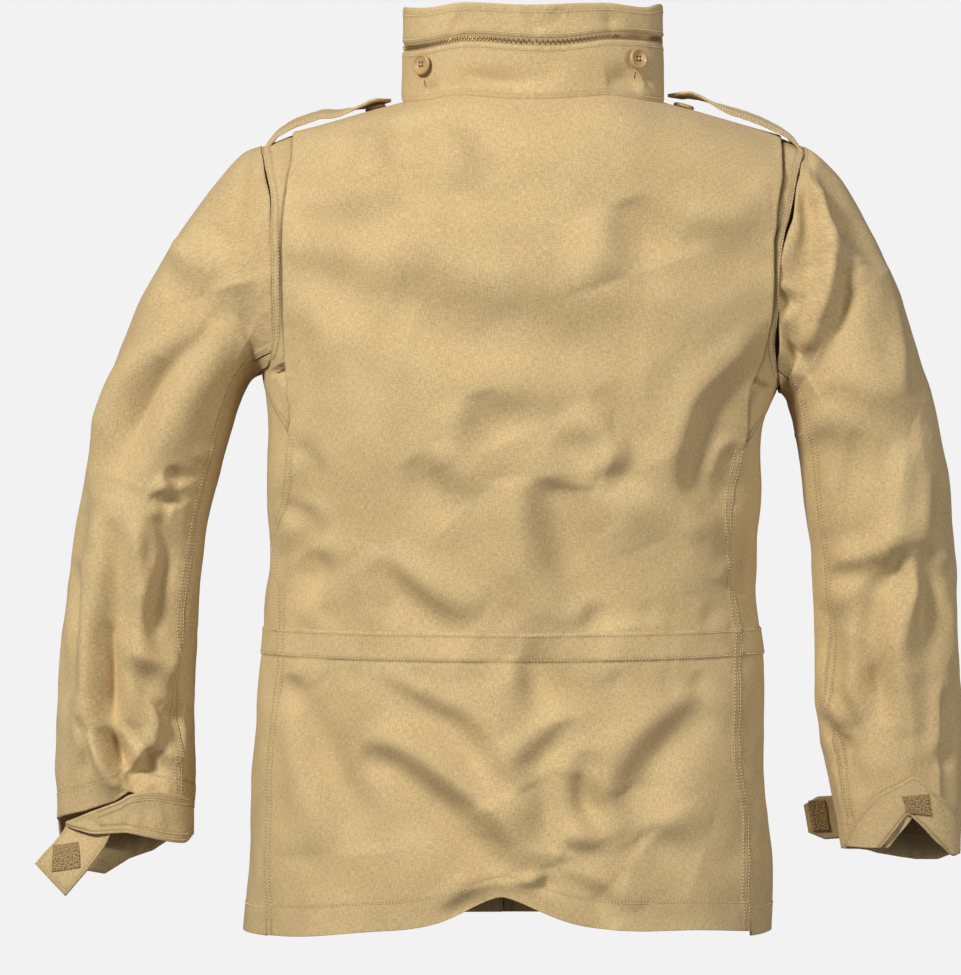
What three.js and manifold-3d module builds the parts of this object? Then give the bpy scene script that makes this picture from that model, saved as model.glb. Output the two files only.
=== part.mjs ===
// Field jacket, filled out and hollow, millimetres, +Z up.
// The origin is at the base of the neck, the back of the jacket faces -Y, and the
// wearer's left is -X.
import * as THREE from 'three';
import Module from 'manifold-3d';

const wasm = await Module();
wasm.setup();

// Driving sizes
const WALL = 1.8;
const COLLAR_WALL = 4;
const STRAP_WALL = 2.5;
const SEAM_GAP = 0.6;
const COLLAR_SEAM = 0.8;
const LAID_ON = 0.5;
const ARMHOLE_GAP = 0.9;
const SQUARENESS = 2.3;
const SHOULDER_ROUND = 104;
const SEAM_SET_BACK = THREE.MathUtils.degToRad(6);
const NECK_HALF = 118;
const BACK_NECK_DROP = 0.66;
const FRONT_NECK_DROP = 1.48;
const BACK_HEM = -738;
const FRONT_HEM = -748;
const HEM_ARCH = { x: -25, width: 42, lift: 32, fadesAt: -600 };
const YOKE_LEVEL = -240;
const FRONT_ZIP = { half: 3.9, opening: 4.4 };
const FLAP = { toLeft: 38, toRight: 24, thick: 2, above: 4 };
const CASING = { top: -476, bottom: -499, raise: 1.2 };
const PLEAT = { bottom: -306, overlap: 12, recess: 5, least: 2.6 };
const COLLAR = { height: 82, frontHeight: 85, topHalf: 117, topBack: 73, topFront: 90, end: 7 };
const COLLAR_ZIP = { low: 0.6, high: 0.69, recess: 1.5, thick: 1.6, gap: 0.006 };
const BUTTON = { radius: 9.5, thick: 3.2, rim: 1.6, dish: 0.9, holeOut: 2.1, holeRadius: 0.9 };
const EPAULETTE = { half: 22, point: 15, droop: 7 };
const NECK_COLUMNS = [0, 0.2, 0.4, 0.59, 0.77, 0.91, 0.98, 1];
const SLIDER = {
  kappa: 2.6, long: 9, tall: 6, top: 0.9, over: 0.4, post: 1, opening: 1.1, arch: 3.9, archWidth: 2.4,
};
const PULL = { axis: 2, long: 24, half: 2.6, thick: 1.2, holeHalf: 1.7, holeTo: 3.4 };
const COLOURS = { cloth: 0xb9a477, button: 0xb08a52, tape: 0x8f7d58, patch: 0x8a6a3e, metal: 0x4a3a2a };
const COLLAR_BUTTONS = [{ side: 'left', x: -98.3, height: 0.385 }, { side: 'right', x: 91.3, height: 0.43 }];
const SHOULDER_BUTTONS = { left: -142, right: 136 };

// Torso: half outlines and depths at each level of cloth below the shoulders
const TORSO = [
  { level: -750, left: -261.5, right: 217, back: 117, front: 112 },
  { level: -700, left: -258.5, right: 216, back: 120, front: 114 },
  { level: -620, left: -252.5, right: 210, back: 120, front: 115 },
  { level: -546, left: -249.8, right: 206.5, back: 116, front: 112 },
  { level: -500, left: -246.5, right: 206, back: 113, front: 110 },
  { level: -474, left: -244, right: 204.5, back: 112, front: 109 },
  { level: -438, left: -241, right: 202, back: 114, front: 112 },
  { level: -402, left: -238, right: 202, back: 117, front: 115 },
  { level: -366, left: -240.5, right: 204.5, back: 121, front: 118 },
  { level: -329, left: -242, right: 205.4, back: 125, front: 120 },
  { level: -293, left: -241, right: 209.5, back: 127, front: 121 },
  { level: -257, left: -243, right: 224, back: 128, front: 122 },
  { level: -215, left: -252, right: 238, back: 127, front: 121 },
  { level: -180, left: -262, right: 251, back: 126, front: 120 },
  { level: -146, left: -265, right: 255, back: 124, front: 118 },
  { level: -100, left: -268, right: 262, back: 120, front: 115 },
  { level: -42, left: -274, right: 270, back: 112, front: 112 },
  { level: 30, left: -276, right: 276, back: 108, front: 108 },
];

// Height of the shoulder line at each distance from the middle
const RIDGE = [
  { out: 0, z: 22 }, { out: 60, z: 20 }, { out: 118, z: -2 }, { out: 147, z: -10 },
  { out: 185, z: -21 }, { out: 213, z: -30 }, { out: 243, z: -42 }, { out: 300, z: -66 },
];

// Armhole seams, side seams and the folded edges of the back pleats
const SIDES = {
  left: {
    sign: -1, armholeBottom: -248, armholeTip: 17, seamTop: -305,
    armhole: [
      { level: -248, x: -250 }, { level: -244, x: -240 }, { level: -236, x: -234.5 },
      { level: -222, x: -231.5 }, { level: -200, x: -230.5 }, { level: -151, x: -230.5 },
      { level: -119, x: -232 },
      { level: -92, x: -233.5 }, { level: -68, x: -238 }, { level: -38, x: -241.5 }, { level: -8, x: -244 },
      { level: 17, x: -244 },
    ],
    seam: [
      { level: -743, x: -240 }, { level: -627, x: -237 }, { level: -539, x: -232 },
      { level: -501, x: -228 }, { level: -446, x: -228 }, { level: -420, x: -233 },
      { level: -399, x: -233 }, { level: -370, x: -225 }, { level: -342, x: -219 }, { level: -305, x: -218 },
    ],
    pleat: [
      { level: -305, x: -218 }, { level: -290, x: -215 }, { level: -273, x: -216 },
      { level: -239, x: -219 }, { level: -209, x: -220 }, { level: -125, x: -221 },
      { level: -100, x: -220 }, { level: -68, x: -218 }, { level: -47, x: -215 },
      { level: -7, x: -215 }, { level: 28, x: -217 },
    ],
  },
  right: {
    sign: 1, armholeBottom: -263, armholeTip: 17, seamTop: -317,
    armhole: [
      { level: -263, x: 225 }, { level: -258, x: 220 }, { level: -248, x: 217 },
      { level: -215, x: 215.5 }, { level: -184, x: 215.5 }, { level: -147, x: 217 },
      { level: -125, x: 222 },
      { level: -110, x: 227 }, { level: -79, x: 233 }, { level: -48, x: 238.5 }, { level: -12, x: 244 },
      { level: 17, x: 244 },
    ],
    seam: [
      { level: -743, x: 195 }, { level: -695, x: 191 }, { level: -647, x: 191 },
      { level: -588, x: 182 }, { level: -528, x: 182 }, { level: -485, x: 184 },
      { level: -445, x: 179 }, { level: -413, x: 177 }, { level: -380, x: 178 },
      { level: -348, x: 182 }, { level: -317, x: 184 },
    ],
    pleat: [
      { level: -317, x: 184 }, { level: -294, x: 187 }, { level: -263, x: 192 },
      { level: -237, x: 204 }, { level: -210, x: 208 }, { level: -184, x: 210 },
      { level: -137, x: 210 }, { level: -122, x: 213 }, { level: -101, x: 215 },
      { level: -71, x: 220 }, { level: -41, x: 222 }, { level: 28, x: 224 },
    ],
  },
};

// Largest folds: path of each trough as x and level pairs, with its depth and half width
const TORSO_FOLDS = [
  { face: 'back', depth: 4, half: 22, path: [[-205, -107], [-118, -111]] },
  { face: 'back', depth: 7, half: 30, path: [[-118, -165], [-61, -189], [-13, -201], [95, -206]] },
  { face: 'back', depth: 5, half: 22, path: [[67, -104], [78, -135], [88, -163]] },
  { face: 'back', depth: 4, half: 20, path: [[131, -122], [195, -130]] },
  { face: 'back', depth: 4, half: 20, path: [[-87, -30], [-58, -50], [-43, -84]] },
  { face: 'back', depth: 3, half: 20, path: [[-70, -302], [-13, -284], [56, -271]] },
  { face: 'back', depth: 4, half: 16, path: [[17, -305], [65, -314]] },
  { face: 'back', depth: 5, half: 18, path: [[-98, -319], [-60, -368]] },
  { face: 'back', depth: 9, half: 20, path: [[1, -342], [13, -404], [29, -448], [34, -474]] },
  {
    face: 'back', depth: 10, half: 16,
    path: [[188, -235], [150, -275], [133, -340], [147, -363], [167, -382], [174, -414], [173, -446]],
  },
  { face: 'back', depth: 6, half: 16, path: [[-198, -405], [-174, -429]] },
  { face: 'back', depth: 7, half: 16, path: [[-135, -410], [-105, -441], [-53, -475]] },
  { face: 'back', depth: 7, half: 18, path: [[-10, -506], [0, -549], [34, -549]] },
  { face: 'back', depth: 6, half: 16, path: [[34, -549], [-4, -585], [-24, -620]] },
  { face: 'back', depth: 5, half: 16, path: [[-151, -506], [-118, -526], [-78, -554]] },
  {
    face: 'back', depth: 11, half: 17,
    path: [[-157, -579], [-122, -586], [-78, -617], [-28, -670], [-22, -700]],
  },
  { face: 'back', depth: 8, half: 18, path: [[-209, -537], [-194, -589], [-176, -634], [-172, -671]] },
  { face: 'back', depth: 11, half: 19, path: [[35, -580], [40, -623], [56, -648], [85, -676]] },
  { face: 'back', depth: 5, half: 20, path: [[147, -535], [105, -572], [80, -612], [93, -647], [150, -664]] },
  { face: 'front', depth: 7, half: 24, path: [[-190, -300], [-130, -360], [-100, -440]] },
  { face: 'front', depth: 6, half: 22, path: [[160, -300], [110, -370], [80, -450]] },
  { face: 'front', depth: 8, half: 24, path: [[-190, -520], [-130, -590], [-110, -680]] },
  { face: 'front', depth: 7, half: 22, path: [[150, -520], [100, -600], [90, -690]] },
  { face: 'front', depth: 5, half: 26, path: [[-200, -120], [-110, -170]] },
  { face: 'front', depth: 5, half: 26, path: [[195, -130], [100, -180]] },
];

// Sleeve sections: outer and inner ends of each ring, half its depth, and its middle's y
const SLEEVES = {
  left: {
    sign: -1, seam: 150,
    rings: [
      { outX: -262.4, outZ: -49.8, inX: -248.8, inZ: -249.5, depth: 70, y: 0 },
      { outX: -287, outZ: -75.9, inX: -252.6, inZ: -251.5, depth: 73, y: 1 },
      { outX: -314.3, outZ: -112, inX: -256.3, inZ: -255.1, depth: 74, y: 3 },
      { outX: -337.9, outZ: -148.2, inX: -259.6, inZ: -260.5, depth: 74, y: 4 },
      { outX: -357.1, outZ: -184.3, inX: -263.7, inZ: -268.6, depth: 73, y: 5 },
      { outX: -371.7, outZ: -220.5, inX: -268.3, inZ: -280.4, depth: 72, y: 6 },
      { outX: -384.6, outZ: -256.8, inX: -273.9, inZ: -297.6, depth: 70, y: 8 },
      { outX: -395.6, outZ: -293.1, inX: -280.3, inZ: -321.2, depth: 68, y: 9 },
      { outX: -403.9, outZ: -333.9, inX: -286.8, inZ: -348.4, depth: 66, y: 10 },
      { outX: -411.3, outZ: -374.8, inX: -294.2, inZ: -379.3, depth: 64, y: 11 },
      { outX: -419.7, outZ: -415.7, inX: -299.7, inZ: -415.7, depth: 61, y: 13 },
      { outX: -424.4, outZ: -456.6, inX: -305.3, inZ: -456.6, depth: 59, y: 14 },
      { outX: -428, outZ: -493, inX: -306.2, inZ: -493, depth: 57, y: 14 },
      { outX: -429.8, outZ: -533.9, inX: -307.1, inZ: -533.9, depth: 55, y: 14 },
      { outX: -431.7, outZ: -574.8, inX: -308.9, inZ: -574.8, depth: 53, y: 14 },
    ],
    end: { outX: -429.5, inX: -309, depth: 49, y: 14, z: -640 },
    hem: [
      { phi: 0, z: -652.2 }, { phi: 28, z: -646 }, { phi: 56, z: -640.3 }, { phi: 85, z: -630.6 },
      { phi: 97, z: -621.6 }, { phi: 120, z: -630.2 }, { phi: 150, z: -635.5 }, { phi: 180, z: -642 },
      { phi: 210, z: -668 }, { phi: 240, z: -682.9 }, { phi: 270, z: -691 }, { phi: 300, z: -705 },
      { phi: 330, z: -700 }, { phi: 345, z: -680 }, { phi: 360, z: -652.2 },
    ],
    backColumns: [0, 14, 28, 42, 56, 70, 85, 97, 120, 135, 150],
    folds: [
      { face: 'back', depth: 8, half: 20, path: [[-303.8, -118.5], [-293.1, -145.2], [-284.2, -175.5]] },
      {
        face: 'back', depth: 8, half: 17,
        path: [[-300, -215], [-333.2, -246.8], [-364.4, -285.2], [-385, -320.8]],
      },
      { face: 'back', depth: 5, half: 13, path: [[-342.1, -371.6], [-346.6, -427.8], [-359.1, -483.9]] },
      { face: 'back', depth: 5, half: 13, path: [[-364.4, -501.8], [-330, -525]] },
      {
        face: 'back', depth: 8, half: 13,
        path: [[-392, -469.7], [-390, -516.9], [-385.8, -561.5], [-372, -595]],
      },
      { face: 'front', depth: 7, half: 18, path: [[-300, -200], [-330, -250], [-350, -300]] },
      { face: 'front', depth: 6, half: 16, path: [[-330, -380], [-370, -440], [-380, -520]] },
    ],
  },
  right: {
    sign: 1, seam: 152,
    rings: [
      { outX: 257, outZ: -50.7, inX: 226.2, inZ: -264.5, depth: 70, y: 0 },
      { outX: 279.8, outZ: -75.9, inX: 229.1, inZ: -267.4, depth: 73, y: 1 },
      { outX: 300.8, outZ: -112, inX: 231.9, inZ: -271.6, depth: 74, y: 3 },
      { outX: 319, outZ: -148.2, inX: 233.8, inZ: -279.6, depth: 74, y: 4 },
      { outX: 335.5, outZ: -184.3, inX: 236.7, inZ: -290.4, depth: 73, y: 5 },
      { outX: 347.5, outZ: -220.5, inX: 239.5, inZ: -304.9, depth: 72, y: 6 },
      { outX: 358.5, outZ: -256.8, inX: 242.4, inZ: -320.3, depth: 70, y: 8 },
      { outX: 368.7, outZ: -293.1, inX: 244.3, inZ: -338.4, depth: 68, y: 9 },
      { outX: 375.2, outZ: -329.4, inX: 246.2, inZ: -361.1, depth: 66, y: 10 },
      { outX: 379, outZ: -365.7, inX: 249.1, inZ: -383.8, depth: 64, y: 11 },
      { outX: 381, outZ: -402, inX: 252.9, inZ: -406.6, depth: 61, y: 13 },
      { outX: 383.9, outZ: -443, inX: 255.7, inZ: -443, depth: 59, y: 14 },
      { outX: 386.6, outZ: -479.3, inX: 257.5, inZ: -479.3, depth: 57, y: 14 },
      { outX: 387.6, outZ: -524.8, inX: 258.4, inZ: -524.8, depth: 55, y: 14 },
      { outX: 388.5, outZ: -570.3, inX: 260.3, inZ: -568.4, depth: 53, y: 14 },
      { outX: 387.6, outZ: -604, inX: 267, inZ: -604, depth: 51, y: 14 },
    ],
    end: { outX: 387.7, inX: 281.3, depth: 48, y: 14, z: -677 },
    hem: [
      { phi: 0, z: -679.5 }, { phi: 32, z: -682.3 }, { phi: 49, z: -672.5 }, { phi: 66, z: -658.8 },
      { phi: 84, z: -644.5 }, { phi: 96, z: -658.3 }, { phi: 108, z: -672.9 }, { phi: 130, z: -674.8 },
      { phi: 152, z: -676.1 }, { phi: 180, z: -677.7 }, { phi: 210, z: -682 }, { phi: 240, z: -686.6 },
      { phi: 270, z: -689.1 }, { phi: 300, z: -690.8 }, { phi: 330, z: -689.8 }, { phi: 360, z: -679.5 },
    ],
    backColumns: [0, 16, 32, 49, 66, 84, 96, 108, 122, 137, 152],
    folds: [
      { face: 'back', depth: 6, half: 17, path: [[273, -111.3], [305, -162.1]] },
      { face: 'back', depth: 7, half: 12, path: [[278.3, -160], [273, -213.8], [252, -238]] },
      { face: 'back', depth: 5, half: 22, path: [[260, -305], [289, -307.4], [330.9, -318.1]] },
      { face: 'back', depth: 6, half: 14, path: [[328.2, -418], [295.2, -446.5], [280, -473.2]] },
      { face: 'back', depth: 7, half: 12, path: [[349.6, -403.7], [344.3, -451.9], [330, -510.7]] },
      { face: 'back', depth: 5, half: 13, path: [[294.3, -508], [299.7, -564.2]] },
      { face: 'front', depth: 7, half: 18, path: [[270, -200], [300, -260], [320, -310]] },
      { face: 'front', depth: 6, half: 16, path: [[290, -390], [330, -450], [340, -530]] },
    ],
  },
};

// Top line of each shoulder strap, from the pointed neck end to the sewn end
const EPAULETTE_PATHS = {
  left: [
    { x: -128.5, z: 1.3 }, { x: -143, z: 0 }, { x: -156, z: -3 }, { x: -176.5, z: -5 },
    { x: -190, z: -5 }, { x: -204, z: -9 }, { x: -218, z: -14.5 }, { x: -230, z: -21 },
    { x: -239, z: -31 }, { x: -245, z: -39.4 },
  ],
  right: [
    { x: 122, z: 5.7 }, { x: 135, z: 6.3 }, { x: 147.5, z: 6 }, { x: 173, z: -0.6 },
    { x: 195, z: -7 }, { x: 212, z: -14 }, { x: 226, z: -20.5 }, { x: 236, z: -28 },
    { x: 242, z: -36 }, { x: 245, z: -39.4 },
  ],
};

// Cuff tab of the left sleeve: x and z of its upper and lower edges, and how far it stands out
const TAB_LEFT = [
  { topX: -422, topZ: -652.2, lowX: -421.8, lowZ: -655.5, out: -0.3 },
  { topX: -410.2, topZ: -648.4, lowX: -408.4, lowZ: -658.1, out: -0.3 },
  { topX: -397.6, topZ: -644.4, lowX: -394, lowZ: -660.5, out: -0.3 },
  { topX: -382.4, topZ: -638.6, lowX: -379.7, lowZ: -659.6, out: -0.1 },
  { topX: -369.8, topZ: -633.6, lowX: -366.2, lowZ: -658.8, out: 0.6 },
  { topX: -360.5, topZ: -626, lowX: -356.6, lowZ: -660.4, out: 2.6 },
  { topX: -343.8, topZ: -621.9, lowX: -342.9, lowZ: -664, out: 3 },
  { topX: -331.3, topZ: -623.7, lowX: -330.4, lowZ: -667.6, out: 3 },
  { topX: -318.7, topZ: -627.3, lowX: -316.9, lowZ: -670.3, out: 3 },
  { topX: -310.5, topZ: -631.8, lowX: -310, lowZ: -664, out: 3 },
];

// Cuff tab of the right sleeve runs on the front half and its end stands past the inner edge
const TAB_RIGHT = {
  from: 330, leaves: 235, straightFrom: 0.6, past: 57, top: -633, low: -672, chamfer: 14, out: 1.7,
};

// Hand guard of the left cuff, corners at the cuff and at the free edge
const GUARD_LEFT = {
  cuffOut: [-421.2, -3.6, -654.2], cuffIn: [-379.4, -30.5, -659.5],
  freeIn: [-421, -20, -717], freeOut: [-449.6, -8, -689.6], bow: 4, startsUpright: 1.4,
};
// The patch is given by its corners across and down the guard
const PATCH_LEFT = [[0.05, 0.54], [0.5, 0.3], [0.88, 0.62], [0.45, 0.9]];

// Hand guard of the right cuff folded up over the sleeve: fold line and free edge
const GUARD_RIGHT = [
  { foldX: 311.3, foldZ: -672.8, freeX: 284, freeZ: -673.5 },
  { foldX: 315.8, foldZ: -667.3, freeX: 286, freeZ: -663.8 },
  { foldX: 320.3, foldZ: -661, freeX: 292.5, freeZ: -647.7 },
  { foldX: 324.8, foldZ: -654.8, freeX: 300.6, freeZ: -635.1 },
  { foldX: 329.2, foldZ: -648.5, freeX: 311.3, freeZ: -623.5 },
  { foldX: 333.7, foldZ: -643, freeX: 325.7, freeZ: -615.4 },
  { foldX: 335.5, foldZ: -643, freeX: 339.1, freeZ: -608.3 },
  { foldX: 341.8, foldZ: -648.4, freeX: 352.5, freeZ: -619 },
  { foldX: 349.8, foldZ: -656.4, freeX: 367.8, freeZ: -631.6 },
  { foldX: 358.8, foldZ: -666.4, freeX: 377.6, freeZ: -640.5 },
  { foldX: 366.9, foldZ: -673.6, freeX: 380.8, freeZ: -658.4 },
  { foldX: 373.1, foldZ: -680, freeX: 381.2, freeZ: -680 },
];
const GUARD_RIGHT_OUT = { atFold: 2.6, middle: 4.2, atEdge: 3 };
const PATCH_RIGHT = [[328.7, -626.7], [351.1, -624], [353.8, -643.5], [338, -638.5]];

const garment = new THREE.Group();
const zipPull = new THREE.Group();
const jacket = new THREE.Group();
jacket.add(garment, zipPull);

const finishes = Object.fromEntries(Object.entries(COLOURS).map(([name, colour]) => [name, {
  color: colour, roughness: name === 'metal' ? 0.4 : 0.85, metalness: name === 'metal' ? 0.8 : 0,
}]));

function addPiece(name, geometry, finish, body = garment) {
  geometry.computeVertexNormals();
  const mesh = new THREE.Mesh(geometry, new THREE.MeshStandardMaterial(finishes[finish]));
  mesh.name = name;
  body.add(mesh);
  return mesh;
}

function mix(a, b, t) {
  return a + (b - a) * t;
}

// Smooth curve through the rows of a table, read in the named column
function read(rows, key, at, column) {
  const last = rows.length - 1;
  if (at <= rows[0][key]) return rows[0][column];
  if (at >= rows[last][key]) return rows[last][column];
  let i = 0;
  while (at > rows[i + 1][key]) i += 1;
  const rate = (k) => (rows[k + 1][column] - rows[k][column]) / (rows[k + 1][key] - rows[k][key]);
  const slope = (k) => {
    const before = rate(Math.max(k - 1, 0));
    const after = rate(Math.min(k, last - 1));
    if (before * after <= 0) return 0;
    const steepest = 3 * Math.min(Math.abs(before), Math.abs(after));
    return Math.sign(before) * Math.min(Math.abs(before + after) / 2, steepest);
  };
  const span = rows[i + 1][key] - rows[i][key];
  const t = (at - rows[i][key]) / span;
  const rise = rows[i + 1][column] - rows[i][column];
  const a = slope(i) * span - rise;
  const b = rise - slope(i + 1) * span;
  return mix(rows[i][column], rows[i + 1][column], t) + t * (1 - t) * (a * (1 - t) + b * t);
}

// Depth of the folds at a point given by two flat coordinates
function foldDepth(folds, face, u, v) {
  let depth = 0;
  for (const fold of folds) {
    if (fold.face !== face) continue;
    let nearest = Infinity;
    for (let i = 0; i < fold.path.length - 1; i += 1) {
      const [ax, ay] = fold.path[i];
      const [bx, by] = fold.path[i + 1];
      const along = ((u - ax) * (bx - ax) + (v - ay) * (by - ay)) / ((bx - ax) ** 2 + (by - ay) ** 2);
      const t = THREE.MathUtils.clamp(along, 0, 1);
      nearest = Math.min(nearest, Math.hypot(u - mix(ax, bx, t), v - mix(ay, by, t)));
    }
    depth += fold.depth * Math.exp(-((nearest / fold.half) ** 2));
  }
  return depth;
}

function torsoSection(level) {
  const left = read(TORSO, 'level', level, 'left');
  const right = read(TORSO, 'level', level, 'right');
  return { middle: (left + right) / 2, half: (right - left) / 2 };
}

// Angle round the torso of a point at x: 0 is the centre back and half a turn the centre front
function torsoAngle(x, level, face) {
  const { middle, half } = torsoSection(level);
  const angle = Math.asin(THREE.MathUtils.clamp((x - middle) / half, -1, 1));
  if (face === 'back') return angle;
  return (angle < 0 ? -Math.PI : Math.PI) - angle;
}

function shoulderBend(x) {
  return read(RIDGE, 'out', Math.abs(x), 'z') - SHOULDER_ROUND;
}

function torsoBase(angle, level) {
  const { middle, half } = torsoSection(level);
  const across = Math.sin(angle);
  const round = Math.max(0, 1 - Math.abs(across) ** SQUARENESS) ** (1 / SQUARENESS);
  const x = middle + half * across;
  const bend = shoulderBend(x);
  const turn = Math.max(0, (level - bend) / SHOULDER_ROUND);
  const z = level < bend ? level : bend + SHOULDER_ROUND * Math.sin(turn);
  const face = Math.cos(angle) >= 0 ? 'back' : 'front';
  const depth = read(TORSO, 'level', level, face) * (face === 'back' ? -1 : 1);
  return new THREE.Vector3(x, depth * round * Math.cos(turn), z);
}

function torsoFold(angle, level) {
  const across = Math.sin(angle);
  const face = Math.cos(angle) >= 0 ? 'back' : 'front';
  const fade = 1 - Math.abs(across) ** 24;
  const { middle, half } = torsoSection(level);
  return -fade * foldDepth(TORSO_FOLDS, face, middle + half * across, level);
}

function normalOf(base, a, b, stepA, stepB) {
  const alongA = base(a + stepA, b).sub(base(a - stepA, b));
  const alongB = base(a, b + stepB).sub(base(a, b - stepB));
  return alongA.cross(alongB).normalize();
}

function torsoSkin(angle, level, out = 0) {
  const normal = normalOf(torsoBase, angle, level, 0.02, 3);
  return torsoBase(angle, level).addScaledVector(normal, out + torsoFold(angle, level));
}

// Moves an angle by a distance measured on the cloth
function shiftAngle(angle, level, distance) {
  const step = 0.01;
  const span = torsoBase(angle + step, level).distanceTo(torsoBase(angle - step, level));
  return angle + (distance * 2 * step) / span;
}

// A closed wall between two grids of points
function wallGeometry(outer, inner, ring = false) {
  const rows = outer.length;
  const columns = outer[0].length;
  const end = columns - 1;
  const positions = [...outer.flat(), ...inner.flat()].flatMap((p) => [p.x, p.y, p.z]);
  const faces = [];
  const at = (layer, i, j) => layer * rows * columns + i * columns + (j % columns);
  const quad = (a, b, c, d) => faces.push(a, b, c, a, c, d);
  const turned = (a, b, c, d) => faces.push(a, b, d, b, c, d);
  for (let i = 0; i < rows - 1; i += 1) {
    for (let j = 0; j < columns - (ring ? 0 : 1); j += 1) {
      const k = (j + 1) % columns;
      const straight = outer[i][j].distanceTo(outer[i + 1][k]) <= outer[i + 1][j].distanceTo(outer[i][k]);
      const split = straight ? quad : turned;
      const back = straight ? turned : quad;
      split(at(0, i, j), at(0, i, j + 1), at(0, i + 1, j + 1), at(0, i + 1, j));
      back(at(1, i, j + 1), at(1, i, j), at(1, i + 1, j), at(1, i + 1, j + 1));
    }
  }
  for (let j = 0; j < columns - (ring ? 0 : 1); j += 1) {
    quad(at(1, 0, j), at(1, 0, j + 1), at(0, 0, j + 1), at(0, 0, j));
    quad(at(0, rows - 1, j), at(0, rows - 1, j + 1), at(1, rows - 1, j + 1), at(1, rows - 1, j));
  }
  if (!ring) {
    for (let i = 0; i < rows - 1; i += 1) {
      quad(at(0, i, 0), at(0, i + 1, 0), at(1, i + 1, 0), at(1, i, 0));
      quad(at(1, i, end), at(1, i + 1, end), at(0, i + 1, end), at(0, i, end));
    }
  }
  const point = (index) => new THREE.Vector3().fromArray(positions, index * 3);
  let volume = 0;
  for (let f = 0; f < faces.length; f += 3) {
    volume += point(faces[f]).dot(point(faces[f + 1]).cross(point(faces[f + 2])));
  }
  if (volume < 0) faces.reverse();
  const geometry = new THREE.BufferGeometry();
  geometry.setAttribute('position', new THREE.Float32BufferAttribute(positions, 3));
  geometry.setIndex(faces);
  return geometry;
}

function gridOf(rows, columns, point) {
  return rows.map((row) => columns.map((column) => point(row, column)));
}

function casingRaise(level) {
  return level < CASING.top + 1 && level > CASING.bottom - 1 ? CASING.raise : 0;
}

// Levels of cloth that every panel of the torso has in common
const LOWER_LEVELS = [-718, -695, -672, -648, -624, -600, -578, -556, -534,
  CASING.bottom - 4, CASING.bottom, CASING.top, CASING.top + 4, -458, -436, -414, -392, -370,
  -348, -326, -305, -284, -263, -254, -247, YOKE_LEVEL];
const UPPER_STEPS = [0.04, 0.09, 0.18, 0.28, 0.38, 0.49, 0.6, 0.71, 0.81, 0.91, 1];

function sideAngle(side, level, face) {
  const { seam, seamTop, armhole, armholeBottom, pleat, sign } = SIDES[side];
  if (face === 'pleat' && level > seamTop) return torsoAngle(read(pleat, 'level', level, 'x'), level, 'back');
  if (level <= seamTop) return torsoAngle(read(seam, 'level', level, 'x'), level, 'back');
  if (level < armholeBottom) {
    const start = torsoAngle(read(seam, 'level', seamTop, 'x'), seamTop, 'back');
    const t = (level - seamTop) / (armholeBottom - seamTop);
    return mix(start, sign * Math.PI / 2, t ** 1.3);
  }
  return torsoAngle(read(armhole, 'level', level, 'x'), level, face === 'front' ? 'front' : 'back');
}

// Level of cloth at the shoulder seam and the neckline, on either side of the shoulder line
function topLevel(x, face) {
  const seamTurn = Math.PI / 2 + (face === 'back' ? -SEAM_SET_BACK : SEAM_SET_BACK);
  const inNeck = 1 - Math.min(1, (x / NECK_HALF) ** 2);
  const drop = face === 'back' ? BACK_NECK_DROP * Math.sqrt(inNeck) : FRONT_NECK_DROP * inNeck ** 0.45;
  return shoulderBend(x) + SHOULDER_ROUND * (seamTurn - drop);
}

function hemLevel(x, face) {
  if (face === 'front') return FRONT_HEM;
  return BACK_HEM + HEM_ARCH.lift * Math.exp(-(((x - HEM_ARCH.x) / HEM_ARCH.width) ** 2));
}

// Cloth level of a row in the column that starts at an angle of the torso
function rowLevel(row, angleAt, face, trim) {
  if (row.hem !== undefined) {
    const hem = hemLevel(torsoBase(angleAt(BACK_HEM), BACK_HEM).x, face);
    return row.hem ? hem : rowBelow(row.level, hem, face);
  }
  let level = mix(YOKE_LEVEL, 0, row.step);
  for (let k = 0; k < 8; k += 1) {
    const x = torsoBase(angleAt(level), level).x;
    level = mix(YOKE_LEVEL, topLevel(x, face) - trim, row.step);
  }
  return level;
}

// The back's lowest rows follow the arch of its hem
function rowBelow(level, hem, face) {
  if (face === 'front' || level > HEM_ARCH.fadesAt) return level;
  return mix(HEM_ARCH.fadesAt, hem, (level - HEM_ARCH.fadesAt) / (BACK_HEM - HEM_ARCH.fadesAt));
}

const TORSO_ROWS = [
  { hem: true },
  ...LOWER_LEVELS.map((level) => ({ hem: false, level })),
  ...UPPER_STEPS.map((step) => ({ step })),
];
// The front hangs lower than the back, with a row level with the back's hem
const FRONT_ROWS = [TORSO_ROWS[0], { hem: false, level: BACK_HEM }, ...TORSO_ROWS.slice(1)];

// A torso panel between two side lines, as a wall with the casing raised on its outside
function torsoPanel({
  rows = TORSO_ROWS, columns, from, to, face, sink,
  trim = SEAM_GAP / 2, out = 0, thick = WALL, casing = 'outside',
}) {
  const place = (row, column, depth, raised) => {
    const angleAt = (level) => mix(from(level), to(level), column);
    const level = rowLevel(row, angleAt, face, trim);
    const raise = casing === 'whole' || (casing === 'outside' && raised) ? casingRaise(level) : 0;
    const lowered = sink ? sink(level, column) : 0;
    return torsoSkin(angleAt(level), level, out - depth + raise - lowered);
  };
  return wallGeometry(
    gridOf(rows, columns, (row, column) => place(row, column, 0, true)),
    gridOf(rows, columns, (row, column) => place(row, column, thick, false)),
  );
}

function evenly(from, to, count) {
  return Array.from({ length: count + 1 }, (_, i) => mix(from, to, i / count));
}

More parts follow.
